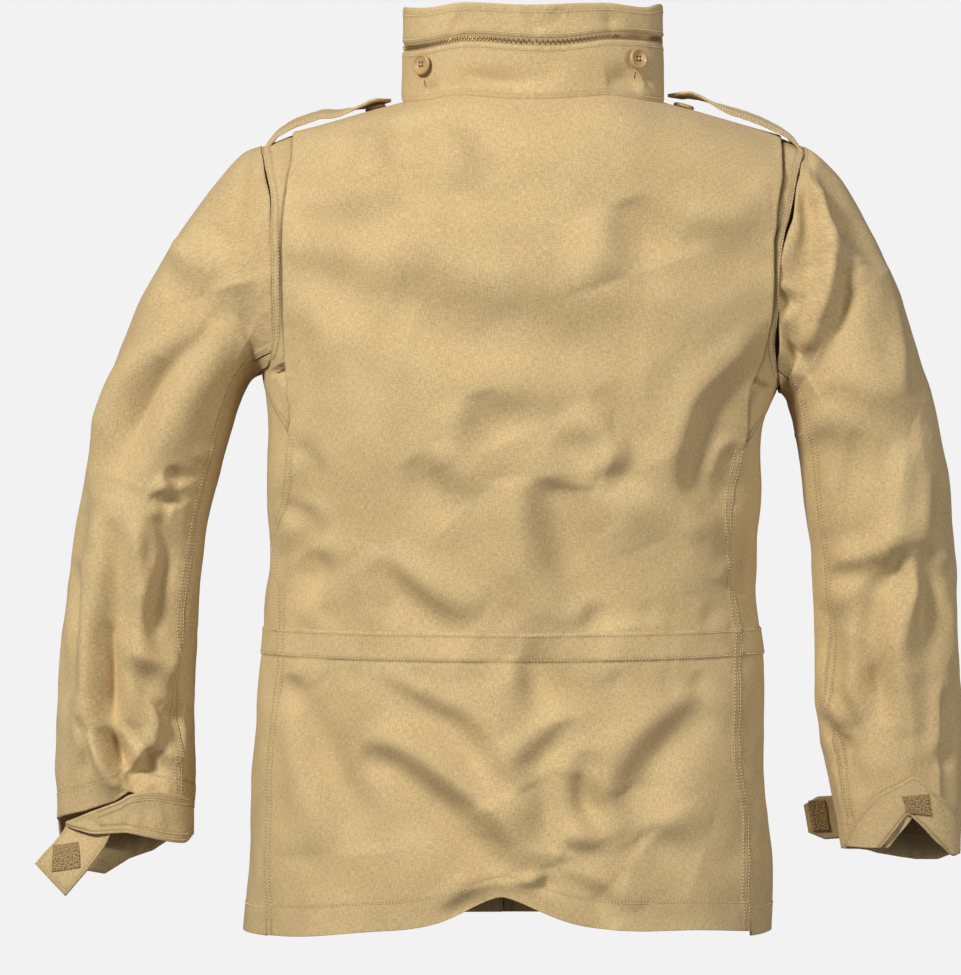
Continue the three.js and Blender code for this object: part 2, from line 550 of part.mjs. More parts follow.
function makeBack() {
  const from = (level) => shiftAngle(sideAngle('left', level, 'pleat'), level, SEAM_GAP / 2);
  const to = (level) => shiftAngle(sideAngle('right', level, 'pleat'), level, -SEAM_GAP / 2);
  const neckLevel = topLevel(NECK_HALF, 'back');
  const width = to(neckLevel) - from(neckLevel);
  const share = (x) => (torsoAngle(x, neckLevel, 'back') - from(neckLevel)) / width;
  const neck = [...NECK_COLUMNS.slice(1).reverse().map((part) => -part), ...NECK_COLUMNS];
  const columns = [
    ...evenly(0, share(-NECK_HALF), 5).slice(0, -1), ...neck.map((part) => share(part * NECK_HALF)),
    ...evenly(share(NECK_HALF), 1, 5).slice(1),
  ];
  addPiece('back', torsoPanel({ columns, from, to, face: 'back' }), 'cloth');
}

function makePleat(side) {
  const { sign } = SIDES[side];
  const hidden = (level) => shiftAngle(sideAngle(side, level, 'pleat'), level, -sign * PLEAT.overlap);
  const seam = (level) => shiftAngle(sideAngle(side, level, 'strip'), level, -sign * SEAM_GAP / 2);
  const widthAt = (level) => {
    const edge = torsoBase(sideAngle(side, level, 'pleat'), level);
    return edge.distanceTo(torsoBase(sideAngle(side, level, 'strip'), level));
  };
  const sink = (level, column) => {
    const visible = widthAt(level);
    const deep = THREE.MathUtils.clamp(visible * 0.8, PLEAT.least, PLEAT.recess);
    const foldAt = PLEAT.overlap / (PLEAT.overlap + visible);
    return column <= foldAt ? deep : deep * (1 - column) / (1 - foldAt);
  };
  const rows = [
    { hem: false, level: PLEAT.bottom }, ...TORSO_ROWS.filter((row) => row.level > PLEAT.bottom || row.step),
  ];
  const panel = torsoPanel({
    rows, columns: [0, 0.3, 0.55, 0.78, 1], from: hidden, to: seam, face: 'back', sink, casing: 'none',
  });
  addPiece(`pleat_${side}`, panel, 'cloth');
}

function makeFront(side) {
  const { sign } = SIDES[side];
  const centre = (level) => shiftAngle(sign * Math.PI, level, -sign * FRONT_ZIP.opening);
  const edge = (level) => shiftAngle(sideAngle(side, level, 'front'), level, sign * SEAM_GAP / 2);
  const neckLevel = topLevel(NECK_HALF, 'front');
  const width = edge(neckLevel) - centre(neckLevel);
  const share = (x) => (torsoAngle(sign * x, neckLevel, 'front') - centre(neckLevel)) / width;
  const columns = [
    0, ...[0.14, 0.34, 0.62, 0.87, 0.98, 1].map((part) => share(part * NECK_HALF)),
    ...evenly(share(NECK_HALF), 1, 4).slice(1),
  ];
  addPiece(`front_${side}`, torsoPanel({
    rows: FRONT_ROWS, columns, from: centre, to: edge, face: 'front',
  }), 'cloth');
}

function makeFrontStrip(name, fromX, toX, columns, options) {
  const from = (level) => shiftAngle(Math.PI, level, -fromX);
  const to = (level) => shiftAngle(Math.PI, level, -toX);
  addPiece(name, torsoPanel({
    rows: FRONT_ROWS, columns: evenly(0, 1, columns), from, to, face: 'front', casing: 'whole', ...options,
  }), options.finish);
}

// Sleeve rings run from the armhole to the cuff; phi is 0 at the outer edge and 90 at the back
function armholePoint(side, phi) {
  const { armhole, armholeBottom, armholeTip, sign } = SIDES[side];
  const level = mix(armholeBottom, armholeTip, (1 + Math.cos(phi)) / 2);
  const face = Math.sin(phi) >= 0 ? 'back' : 'front';
  const point = torsoBase(torsoAngle(read(armhole, 'level', level, 'x'), level, face), level);
  point.x += sign * ARMHOLE_GAP;
  return point;
}

function ringPoint({ outX, outZ, inX, inZ, depth, y }, phi) {
  const along = (1 + Math.cos(phi)) / 2;
  return new THREE.Vector3(mix(inX, outX, along), y - depth * Math.sin(phi), mix(inZ, outZ, along));
}

function hemPoint(side, phi) {
  const { end, hem } = SLEEVES[side];
  const degrees = THREE.MathUtils.euclideanModulo(THREE.MathUtils.radToDeg(phi), 360);
  const after = hem.findIndex((row) => row.phi >= degrees);
  const before = hem[Math.max(after - 1, 0)];
  const t = after === 0 ? 0 : (degrees - before.phi) / (hem[after].phi - before.phi);
  const z = mix(before.z, hem[after].z, t);
  return ringPoint({ ...end, outZ: z, inZ: z }, phi);
}

function sleeveRing(side, index, phi) {
  const { rings } = SLEEVES[side];
  if (index <= 0) return armholePoint(side, phi);
  if (index > rings.length) return hemPoint(side, phi);
  return ringPoint(rings[index - 1], phi);
}

function sleeveBase(side, phi, station) {
  const last = SLEEVES[side].rings.length + 1;
  const at = THREE.MathUtils.clamp(station, 0, last);
  const i = Math.min(Math.floor(at), last - 1);
  const t = at - i;
  const p1 = sleeveRing(side, i, phi);
  const p2 = sleeveRing(side, i + 1, phi);
  const into = i > 0 ? p2.clone().sub(sleeveRing(side, i - 1, phi)).multiplyScalar(0.5) : p2.clone().sub(p1);
  const away = i + 2 <= last ? sleeveRing(side, i + 2, phi).sub(p1).multiplyScalar(0.5) : p2.clone().sub(p1);
  const point = p1.clone().multiplyScalar(2 * t ** 3 - 3 * t ** 2 + 1);
  point.addScaledVector(into, t ** 3 - 2 * t ** 2 + t);
  point.addScaledVector(p2, -2 * t ** 3 + 3 * t ** 2);
  return point.addScaledVector(away, t ** 3 - t ** 2);
}

function sleeveSkin(side, phi, station, out = 0) {
  const { sign, rings, folds } = SLEEVES[side];
  const base = (a, b) => sleeveBase(side, a, b);
  const at = THREE.MathUtils.clamp(station, 0.05, rings.length + 0.95);
  const normal = normalOf(base, phi, at, 0.02, 0.05).multiplyScalar(sign);
  const point = base(phi, station);
  const face = Math.sin(phi) >= 0 ? 'back' : 'front';
  const fade = 1 - Math.abs(Math.cos(phi)) ** 16;
  return point.addScaledVector(normal, out - fade * foldDepth(folds, face, point.x, point.z));
}

function makeSleeve(side) {
  const { rings, seam, backColumns } = SLEEVES[side];
  const last = rings.length + 1;
  const stations = [0, 0.5, 1, 1.6, 2.3, 3, 3.8, 4.6, 5.4, 6.2, 7, 8, 9, 9.8, 10.6, 11.4, 12.2, 13, 13.7];
  stations.push(...evenly(14.4, last, side === 'left' ? 3 : 5));
  const radians = (list) => list.map((degrees) => THREE.MathUtils.degToRad(degrees));
  const gap = 0.3;
  const upper = [-148, -112, -75, -37, ...backColumns.slice(0, -1), seam - gap];
  const under = [seam + gap, 166, 180, 196, 212 - 2 * gap];
  const build = (list) => wallGeometry(
    gridOf(stations, radians(list), (station, phi) => sleeveSkin(side, phi, station)),
    gridOf(stations, radians(list), (station, phi) => sleeveSkin(side, phi, station, -WALL)),
  );
  addPiece(`sleeve_${side}`, build(upper), 'cloth');
  addPiece(`sleeve_${side}_under`, build(under), 'cloth');
}

// The collar rises from the neckline; kappa is 0 at the centre back
function neckPoint(kappa) {
  const across = Math.sign(Math.sin(kappa)) * Math.abs(Math.sin(kappa)) ** (2 / SQUARENESS);
  const x = NECK_HALF * across;
  const face = Math.cos(kappa) >= 0 ? 'back' : 'front';
  const level = topLevel(x, face);
  return torsoBase(torsoAngle(x, level, face), level);
}

function collarTop(kappa) {
  const low = neckPoint(kappa);
  const across = Math.sign(Math.sin(kappa)) * Math.abs(Math.sin(kappa)) ** (2 / SQUARENESS);
  const along = Math.abs(Math.cos(kappa)) ** (2 / SQUARENESS);
  const back = Math.cos(kappa) >= 0;
  const y = back ? -COLLAR.topBack * along : COLLAR.topFront * along;
  const height = back ? COLLAR.height : mix(COLLAR.height, COLLAR.frontHeight, along);
  return new THREE.Vector3(COLLAR.topHalf * across, y, low.z + height);
}

function collarBase(kappa, height) {
  return neckPoint(kappa).lerp(collarTop(kappa), height);
}

function collarSkin(kappa, height, out = 0) {
  const normal = normalOf(collarBase, kappa, height, 0.03, 0.05);
  return collarBase(kappa, height).addScaledVector(normal, out);
}

function makeCollarBand(name, heights, out, thick, finish, endInset = 0) {
  const end = Math.PI - (COLLAR.end + endInset) / NECK_HALF - 0.06;
  const kappas = evenly(-end, end, 32);
  const geometry = wallGeometry(
    gridOf(heights, kappas, (height, kappa) => collarSkin(kappa, height, out)),
    gridOf(heights, kappas, (height, kappa) => collarSkin(kappa, height, out - thick)),
  );
  addPiece(name, geometry, finish);
}

function makeCollar() {
  const { low, high, gap, recess, thick } = COLLAR_ZIP;
  makeCollarBand('collar_lower', [COLLAR_SEAM / COLLAR.height, 0.3, low], 0, COLLAR_WALL, 'cloth');
  makeCollarBand('collar_zip_tape', [low + gap, high - gap], -recess, thick, 'tape');
  makeCollarBand('collar_upper', [high, 0.85, 1], 0, COLLAR_WALL, 'cloth');
}

// The slider of the collar zip and its pull, which turns about a bar square to the tape
function zipPlace() {
  const height = (COLLAR_ZIP.low + COLLAR_ZIP.high) / 2;
  const normal = normalOf(collarBase, SLIDER.kappa, height, 0.03, 0.05);
  const behind = collarBase(SLIDER.kappa - 0.03, height);
  const along = collarBase(SLIDER.kappa + 0.03, height).sub(behind).normalize();
  const up = normal.clone().cross(along);
  const turn = new THREE.Quaternion().setFromRotationMatrix(new THREE.Matrix4().makeBasis(along, up, normal));
  return { seat: collarSkin(SLIDER.kappa, height), turn };
}

function block(fromX, toX, halfY, fromZ, toZ) {
  const box = new THREE.BoxGeometry(toX - fromX, 2 * halfY, toZ - fromZ);
  return toManifold(box.translate((fromX + toX) / 2, 0, (fromZ + toZ) / 2));
}

function makeZipSlider() {
  const { long, tall, top, over, post, opening, arch, archWidth } = SLIDER;
  const body = block(-long / 2, long / 2, tall / 2, over - COLLAR_ZIP.recess, top);
  const loop = block(-opening - post, opening + post, archWidth / 2, top - 0.2, arch)
    .subtract(block(-opening, opening, archWidth, top, PULL.axis + opening));
  const { seat, turn } = zipPlace();
  const slider = addPiece('collar_zip_slider', fromManifold(body.add(loop)), 'metal');
  slider.position.copy(seat);
  slider.quaternion.copy(turn);
  const { axis, half, thick, holeHalf, holeTo } = PULL;
  const plate = block(-thick / 2, PULL.long, half, axis - thick / 2, axis + thick / 2);
  const hole = block(thick / 2, holeTo, holeHalf, axis - thick, axis + thick);
  const waist = (direction) => toManifold(new THREE.BoxGeometry(8, 1.6, 4 * thick)
    .translate(9, direction * (half + 0.2), axis));
  const pullGeometry = fromManifold(plate.subtract(hole).subtract(waist(1)).subtract(waist(-1)));
  const pull = addPiece('collar_zip_pull', pullGeometry, 'metal', zipPull);
  pull.position.copy(seat);
  pull.quaternion.copy(turn);
}

function toManifold(geometry) {
  const bare = geometry.index ? geometry.toNonIndexed() : geometry;
  const positions = bare.getAttribute('position');
  const seen = new Map();
  const vertProperties = [];
  const triVerts = [];
  for (let i = 0; i < positions.count; i += 1) {
    const corner = [positions.getX(i), positions.getY(i), positions.getZ(i)];
    const key = corner.map((value) => Math.round(value * 1e4)).join();
    if (!seen.has(key)) {
      seen.set(key, vertProperties.length / 3);
      vertProperties.push(...corner);
    }
    triVerts.push(seen.get(key));
  }
  const kept = [];
  for (let i = 0; i < triVerts.length; i += 3) {
    const [a, b, c] = triVerts.slice(i, i + 3);
    if (a !== b && b !== c && a !== c) kept.push(a, b, c);
  }
  return new wasm.Manifold(new wasm.Mesh({
    numProp: 3, vertProperties: new Float32Array(vertProperties), triVerts: new Uint32Array(kept),
  }));
}

function fromManifold(solid) {
  const { vertProperties, triVerts } = solid.getMesh();
  const geometry = new THREE.BufferGeometry();
  geometry.setAttribute('position', new THREE.Float32BufferAttribute(vertProperties, 3));
  geometry.setIndex([...triVerts]);
  return geometry;
}

// A four-hole button lying in XY with its face at +Z, on a shank of the given length
function buttonGeometry(shank) {
  const { radius, thick, rim, dish, holeOut, holeRadius } = BUTTON;
  const profile = [
    [0, 0], [radius - 0.8, 0], [radius, 0.8], [radius, thick - 0.6], [radius - 0.6, thick],
    [radius - rim, thick], [radius - rim - 0.7, thick - dish], [0, thick - dish],
  ].map(([r, z]) => new THREE.Vector2(r, z));
  const disc = toManifold(new THREE.LatheGeometry(profile, 16).rotateX(Math.PI / 2));
  const holes = [45, 135, 225, 315].map((degrees) => {
    const turn = THREE.MathUtils.degToRad(degrees);
    const hole = new THREE.CylinderGeometry(holeRadius, holeRadius, 4 * thick, 6).rotateX(Math.PI / 2);
    return toManifold(hole.translate(holeOut * Math.cos(turn), holeOut * Math.sin(turn), 0));
  });
  let solid = holes.reduce((left, hole) => left.subtract(hole), disc);
  if (shank > 0) {
    const stem = new THREE.CylinderGeometry(1.1, 1.4, shank + 0.6, 10).rotateX(Math.PI / 2);
    solid = solid.add(toManifold(stem.translate(0, 0, (0.6 - shank) / 2)));
  }
  return fromManifold(solid);
}

function placeButton(name, seat, normal, shank) {
  const mesh = addPiece(name, buttonGeometry(shank), 'button');
  mesh.quaternion.setFromUnitVectors(new THREE.Vector3(0, 0, 1), normal);
  mesh.position.copy(seat).addScaledVector(normal, shank + 0.35);
}

// The collar's kappa where its outer face has the given x on the back
function collarKappa(x) {
  return Math.asin(Math.sign(x) * (Math.abs(x) / NECK_HALF) ** (SQUARENESS / 2));
}

function makeCollarButtons() {
  for (const { side, x, height } of COLLAR_BUTTONS) {
    const kappa = collarKappa(x);
    const normal = normalOf(collarBase, kappa, height, 0.03, 0.05);
    placeButton(`collar_button_${side}`, collarSkin(kappa, height), normal, 1.6);
  }
}

function shoulderSurface(x, y) {
  const { middle, half } = torsoSection(topLevel(x, 'back'));
  const round = (1 - Math.abs((x - middle) / half) ** SQUARENESS) ** (1 / SQUARENESS);
  const reach = read(TORSO, 'level', topLevel(x, 'back'), 'back') * round;
  return shoulderBend(x) + SHOULDER_ROUND * Math.sqrt(1 - (y / reach) ** 2);
}

function makeShoulderButton(side) {
  const x = SHOULDER_BUTTONS[side];
  const slope = shoulderSurface(x + 5, 0) - shoulderSurface(x - 5, 0);
  const normal = new THREE.Vector3(-slope, 0, 10).normalize();
  const seat = new THREE.Vector3(x, 0, shoulderSurface(x, 0));
  placeButton(`shoulder_button_${side}`, seat, normal, 0);
}

// A strap over the shoulder: pointed at the neck, sewn at the armhole, where it droops
function makeEpaulette(side) {
  const path = EPAULETTE_PATHS[side];
  const across = [-1, -0.5, 0, 0.5, 1];
  const points = path.map(({ x, z }) => new THREE.Vector3(x, 0, z));
  const middle = new THREE.CatmullRomCurve3(points, false, 'centripetal');
  const steps = [0, 0.06, 0.13, ...evenly(0.2, 1, 12)];
  const length = middle.getLength();
  const place = (step, share, down) => {
    const centre = middle.getPointAt(step);
    const tangent = middle.getTangentAt(step);
    const normal = new THREE.Vector3(-tangent.z, 0, tangent.x).multiplyScalar(Math.sign(tangent.x));
    const narrow = Math.min(1, 0.12 + (step * length) / EPAULETTE.point);
    const y = share * EPAULETTE.half * narrow;
    const droop = THREE.MathUtils.smoothstep(step, 0.7, 1) * EPAULETTE.droop * share ** 2;
    return centre.addScaledVector(normal, -down).add(new THREE.Vector3(0, y, -droop));
  };
  const geometry = wallGeometry(
    gridOf(steps, across, (step, share) => place(step, share, 0)),
    gridOf(steps, across, (step, share) => place(step, share, STRAP_WALL)),
  );
  addPiece(`epaulette_${side}`, geometry, 'cloth');
}

// The end of a sleeve as an upright oval, for what lies on the cuff
function cuffOval(side, z) {
  const { end, rings } = SLEEVES[side];
  const above = rings[rings.length - 1];
  const t = THREE.MathUtils.clamp((z - end.z) / (above.outZ - end.z), 0, 1);
  const [outX, inX, depth] = ['outX', 'inX', 'depth'].map((column) => mix(end[column], above[column], t));
  return { inX, half: (outX - inX) / 2, depth };
}

function cuffPoint(side, x, z, out) {
  const { end, sign } = SLEEVES[side];
  const { inX, half, depth } = cuffOval(side, z);
  const across = THREE.MathUtils.clamp((x - inX - half) / half, -0.985, 0.985);
  const down = Math.sqrt(1 - across ** 2);
  const normal = new THREE.Vector3(sign * across / Math.abs(half), -down / depth, 0).normalize();
  return new THREE.Vector3(inX + half + half * across, end.y - depth * down, z).addScaledVector(normal, out);
}

function makeTabLeft() {
  const rows = evenly(0, TAB_LEFT.length - 1, TAB_LEFT.length - 1);
  const place = (row, share, depth) => {
    const { topX, topZ, lowX, lowZ, out } = TAB_LEFT[row];
    return cuffPoint('left', mix(topX, lowX, share), mix(topZ, lowZ, share), out - depth);
  };
  addPiece('cuff_tab_left', wallGeometry(
    gridOf(rows, evenly(0, 1, 3), (row, share) => place(row, share, 0)),
    gridOf(rows, evenly(0, 1, 3), (row, share) => place(row, share, WALL)),
  ), 'cloth');
}

// Path of the right cuff tab: round the front of the cuff, then straight past its inner edge
function tabRightPoint(share, z, out) {
  const { inX, half, depth } = cuffOval('right', z);
  const { from, leaves, past, straightFrom } = TAB_RIGHT;
  const phi = THREE.MathUtils.degToRad(mix(from, leaves, Math.min(1, share / straightFrom)));
  const x = inX + half + half * Math.cos(phi);
  const point = new THREE.Vector3(x, SLEEVES.right.end.y - depth * Math.sin(phi), z);
  point.addScaledVector(new THREE.Vector3(Math.cos(phi) / half, -Math.sin(phi) / depth, 0).normalize(), out);
  const heading = new THREE.Vector3(half * Math.sin(phi), depth * Math.cos(phi), 0).normalize();
  return point.addScaledVector(heading, past * Math.max(0, share - straightFrom) / (1 - straightFrom));
}

function makeTabRight() {
  const { straightFrom, top, low, chamfer, out } = TAB_RIGHT;
  const shares = [...evenly(0, straightFrom, 6), 0.75, 0.88, 1];
  const place = (share, down, standOff) => {
    const tip = Math.max(0, (share - 0.88) / 0.12);
    const z = mix(top, low, down) + tip * (down - 0.5) * chamfer;
    return tabRightPoint(share, z, standOff);
  };
  const thirds = [0, 0.5, 1];
  addPiece('cuff_tab_right', wallGeometry(
    gridOf(shares, thirds, (share, down) => place(share, down, out + WALL)),
    gridOf(shares, thirds, (share, down) => place(share, down, out)),
  ), 'cloth');
  const patch = (share, down, standOff) => tabRightPoint(share, mix(top - 3, low + 8, down), standOff);
  addPiece('tab_patch_right', wallGeometry(
    gridOf([0.84, 0.91, 0.97], thirds, (share, down) => patch(share, down, out - LAID_ON)),
    gridOf([0.84, 0.91, 0.97], thirds, (share, down) => patch(share, down, out - LAID_ON - 1)),
  ), 'patch');
}

// The left hand guard is a bowed four-sided flap; across and down run from 0 to 1
function guardLeftPoint(across, down, out) {
  const [cuffOut, cuffIn, freeIn, freeOut] = ['cuffOut', 'cuffIn', 'freeIn', 'freeOut']
    .map((corner) => new THREE.Vector3(...GUARD_LEFT[corner]));
  const top = cuffOut.clone().lerp(cuffIn, across);
  const low = freeOut.clone().lerp(freeIn, across);
  const swing = down ** GUARD_LEFT.startsUpright;
  const normal = cuffIn.clone().sub(cuffOut).cross(freeOut.clone().sub(cuffOut)).normalize();
  if (normal.y > 0) normal.negate();
  const bow = GUARD_LEFT.bow * Math.sin(Math.PI * down) * (0.4 + 0.6 * Math.sin(Math.PI * across));
  const point = new THREE.Vector3(mix(top.x, low.x, swing), mix(top.y, low.y, swing), mix(top.z, low.z, down));
  return point.addScaledVector(normal, out + bow);
}

function makeGuardLeft() {
  const steps = evenly(0, 1, 5);
  addPiece('hand_guard_left', wallGeometry(
    gridOf(steps, steps, (down, across) => guardLeftPoint(across, down, WALL / 2)),
    gridOf(steps, steps, (down, across) => guardLeftPoint(across, down, -WALL / 2)),
  ), 'cloth');
  const patchAt = (u, v, out) => {
    const [a, b, c, d] = PATCH_LEFT;
    const across = mix(mix(a[0], b[0], u), mix(d[0], c[0], u), v);
    const down = mix(mix(a[1], b[1], u), mix(d[1], c[1], u), v);
    return guardLeftPoint(across, down, out);
  };
  const cells = evenly(0, 1, 3);
  addPiece('hook_patch_left', wallGeometry(
    gridOf(cells, cells, (v, u) => patchAt(u, v, WALL / 2 + LAID_ON + 1)),
    gridOf(cells, cells, (v, u) => patchAt(u, v, WALL / 2 + LAID_ON)),
  ), 'patch');
}

function makeGuardRight() {
  const { atFold, middle, atEdge } = GUARD_RIGHT_OUT;
  const shares = [0, 0.25, 0.5, 0.75, 1];
  const outAt = (share) => mix(mix(atFold, middle, share), mix(middle, atEdge, share), share);
  const place = (index, share, depth) => {
    const { foldX, foldZ, freeX, freeZ } = GUARD_RIGHT[index];
    return cuffPoint('right', mix(foldX, freeX, share), mix(foldZ, freeZ, share), outAt(share) - depth);
  };
  const rows = GUARD_RIGHT.map((_, index) => index);
  addPiece('hand_guard_right', wallGeometry(
    gridOf(rows, shares, (index, share) => place(index, share, 0)),
    gridOf(rows, shares, (index, share) => place(index, share, WALL)),
  ), 'cloth');
  const patchAt = (u, v, out) => {
    const [a, b, c, d] = PATCH_RIGHT;
    const x = mix(mix(a[0], b[0], u), mix(d[0], c[0], u), v);
    const z = mix(mix(a[1], b[1], u), mix(d[1], c[1], u), v);
    return cuffPoint('right', x, z, out);
  };
  const cells = evenly(0, 1, 3);
  addPiece('hook_patch_right', wallGeometry(
    gridOf(cells, cells, (v, u) => patchAt(u, v, outAt(0.5) + LAID_ON + 1)),
    gridOf(cells, cells, (v, u) => patchAt(u, v, outAt(0.5) + LAID_ON)),
  ), 'patch');
}

makeBack();
for (const side of ['left', 'right']) {
  makePleat(side);
  makeFront(side);
  makeSleeve(side);
  makeEpaulette(side);
  makeShoulderButton(side);
}
makeFrontStrip('front_zip', -FRONT_ZIP.half, FRONT_ZIP.half, 1, {
  out: -0.1, thick: 1.6, casing: 'none', finish: 'tape',
});
makeFrontStrip('storm_flap', -FLAP.toLeft, FLAP.toRight, 3, {
  out: LAID_ON + FLAP.thick, thick: FLAP.thick, trim: FLAP.above, finish: 'cloth',
});
makeCollar();
makeCollarButtons();
makeZipSlider();
makeTabLeft();
makeTabRight();
makeGuardLeft();
makeGuardRight();

export default jacket;
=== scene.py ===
"""A field jacket, filled out and hollow, in cotton cloth with seams, stitching and folds."""
import math
from functools import partial

import bpy
import numpy as np
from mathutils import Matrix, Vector


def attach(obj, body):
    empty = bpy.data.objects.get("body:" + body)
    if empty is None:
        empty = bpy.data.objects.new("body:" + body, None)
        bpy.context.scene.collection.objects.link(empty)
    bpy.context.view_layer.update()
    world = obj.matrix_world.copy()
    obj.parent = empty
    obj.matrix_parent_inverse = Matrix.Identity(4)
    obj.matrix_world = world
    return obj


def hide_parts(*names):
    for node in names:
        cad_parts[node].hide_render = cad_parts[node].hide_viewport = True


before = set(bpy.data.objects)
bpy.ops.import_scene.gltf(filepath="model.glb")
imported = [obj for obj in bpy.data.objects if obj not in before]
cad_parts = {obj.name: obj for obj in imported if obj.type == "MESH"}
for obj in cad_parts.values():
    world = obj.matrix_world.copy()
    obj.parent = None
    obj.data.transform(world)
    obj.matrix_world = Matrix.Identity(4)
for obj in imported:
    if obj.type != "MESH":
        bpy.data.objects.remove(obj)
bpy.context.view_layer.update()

# Sizes in millimetres, as in the solids; meshes are made in metres
METRES = 0.001
WALL = 1.8
COLLAR_WALL = 4
STRAP_WALL = 2.5
SEAM_GAP = 0.6
COLLAR_SEAM = 0.8
LAID_ON = 0.5
ARMHOLE_GAP = 0.9
SQUARENESS = 2.3
SHOULDER_ROUND = 104
SEAM_SET_BACK = math.radians(6)
NECK_HALF = 118
BACK_NECK_DROP = 0.66
FRONT_NECK_DROP = 1.48
BACK_HEM = -738
FRONT_HEM = -748
ARCH = {"x": -25, "width": 50, "lift": 32, "fades_at": -600, "side_drop": 9}
YOKE_LEVEL = -240
ZIP_OPENING = 4.4
FLAP = {"to_left": 38, "to_right": 24, "thick": 2, "above": 4}
CASING = {"top": -476, "bottom": -499, "raise": 1.2, "row_inset": 1,
          "sag": 3, "sag_middle": -20, "sag_half": 215, "sag_level": -491, "sag_reach": 34}
HEM = {"wide": 24, "row": 24.6, "edge_ends": 25.2, "band": 34}
PLEAT = {"bottom": -314, "overlap": 12, "recess": 7, "slope": 2.2, "shade": 0.35}
ARMPIT = 14
COLLAR = {"height": 82, "front_height": 85, "top_half": 117, "top_back": 73, "top_front": 90, "end": 7}
COLLAR_ZIP = {"low": 0.6, "high": 0.69, "recess": 1.5}
STRAP = {"half": 22, "point": 15, "droop": 7, "tilt": 12}
FELL = {"wide": 9.5, "raise": 0.7}
STITCH = {"pitch": 3.0, "long": 2.1, "radius": 0.42}
FINE_STITCH = {"pitch": 2.4, "long": 1.8}
BARTACK = {"pitch": 1.0, "long": 0.9, "radius": 0.4}
BARTACKS = [(-14.2, -482, -494), (-12.6, -479.5, -491)]
SLEEVE_SEAM_LEVELS = [("left", -472), ("right", -302)]
FELL_ROWS = (1.6, FELL["wide"] - 1.2)
PLEAT_ROWS = (1.5, 7)
SLEEVE_ROWS = (1.6, 7.5)
SLEEVE_HEM = 22
STRAP_ROWS = (2, 7.5)
NO_ROW = 50.0
TORSO_GIRTH = 200
TORSO_WEAVE = 215
SLEEVE_GIRTH = 55
SLEEVE_WEAVE = 62


def mix(a, b, t):
    return a + (b - a) * t


def smooth(low, high, at):
    t = np.clip((at - low) / (high - low), 0, 1)
    return t * t * (3 - 2 * t)


class Curve:
    """A smooth curve through the rows of a table that never swings past them"""

    def __init__(self, at, value):
        self.at = np.array(at, float)
        self.value = np.array(value, float)
        rate = np.diff(self.value) / np.diff(self.at)
        before = np.concatenate([rate[:1], rate])
        after = np.concatenate([rate, rate[-1:]])
        steepest = 3 * np.minimum(abs(before), abs(after))
        size = np.minimum(abs(before + after) / 2, steepest)
        self.slope = np.where(before * after <= 0, 0, np.sign(before) * size)

    def __call__(self, at):
        at = np.clip(at, self.at[0], self.at[-1])
        i = np.clip(np.searchsorted(self.at, at) - 1, 0, len(self.at) - 2)
        span = self.at[i + 1] - self.at[i]
        t = (at - self.at[i]) / span
        rise = self.value[i + 1] - self.value[i]
        a = self.slope[i] * span - rise
        b = rise - self.slope[i + 1] * span
        return self.value[i] + rise * t + t * (1 - t) * (a * (1 - t) + b * t)


def curves(names, rows):
    """A table with named columns, each a curve over the first one"""
    names = names.split()
    columns = list(zip(*rows))
    return {name: Curve(columns[0], column) for name, column in zip(names[1:], columns[1:])}


TORSO = curves("level left right back front", [
    (-750, -261.5, 217, 117, 112), (-700, -258.5, 216, 120, 114), (-620, -252.5, 210, 120, 115),
    (-546, -249.8, 206.5, 116, 112), (-500, -246.5, 206, 113, 110), (-474, -244, 204.5, 112, 109),
    (-438, -241, 202, 114, 112), (-402, -238, 202, 117, 115), (-366, -240.5, 204.5, 121, 118),
    (-329, -242, 205.4, 125, 120), (-293, -241, 209.5, 127, 121), (-257, -243, 224, 128, 122),
    (-215, -252, 238, 127, 121), (-180, -262, 251, 126, 120), (-146, -265, 255, 124, 118),
    (-100, -268, 262, 120, 115), (-42, -274, 270, 112, 112), (30, -276, 276, 108, 108),
])
RIDGE = curves("out z", [
    (0, 22), (60, 20), (118, -2), (147, -10), (185, -21), (213, -30), (243, -42), (300, -66),
])["z"]
SIDES = {
    "left": {
        "sign": -1, "armhole_bottom": -248, "armhole_tip": 17, "seam_top": -305,
        "armhole": curves("level x", [
            (-248, -250), (-244, -240), (-236, -234.5), (-222, -231.5), (-200, -230.5), (-151, -230.5),
            (-119, -232), (-92, -233.5), (-68, -238), (-38, -241.5), (-8, -244), (17, -244),
        ])["x"],
        "seam": curves("level x", [
            (-743, -240), (-627, -237), (-539, -232), (-501, -228), (-446, -228), (-420, -233),
            (-399, -233), (-370, -225), (-342, -219), (-305, -218),
        ])["x"],
        "pleat": curves("level x", [
            (-305, -218), (-290, -215), (-273, -216), (-239, -219), (-209, -220), (-125, -221),
            (-100, -220), (-68, -218), (-47, -215), (-7, -215), (28, -217),
        ])["x"],
    },
    "right": {
        "sign": 1, "armhole_bottom": -263, "armhole_tip": 17, "seam_top": -317,
        "armhole": curves("level x", [
            (-263, 225), (-258, 220), (-248, 217), (-215, 215.5), (-184, 215.5), (-147, 217),
            (-125, 222), (-110, 227), (-79, 233), (-48, 238.5), (-12, 244), (17, 244),
        ])["x"],
        "seam": curves("level x", [
            (-743, 195), (-695, 191), (-647, 191), (-588, 182), (-528, 182), (-485, 184),
            (-445, 179), (-413, 177), (-380, 178), (-348, 182), (-317, 184),
        ])["x"],
        "pleat": curves("level x", [
            (-317, 184), (-294, 187), (-263, 192), (-237, 204), (-210, 208), (-184, 210),
            (-137, 210), (-122, 213), (-101, 215), (-71, 220), (-41, 222), (28, 224),
        ])["x"],
    },
}

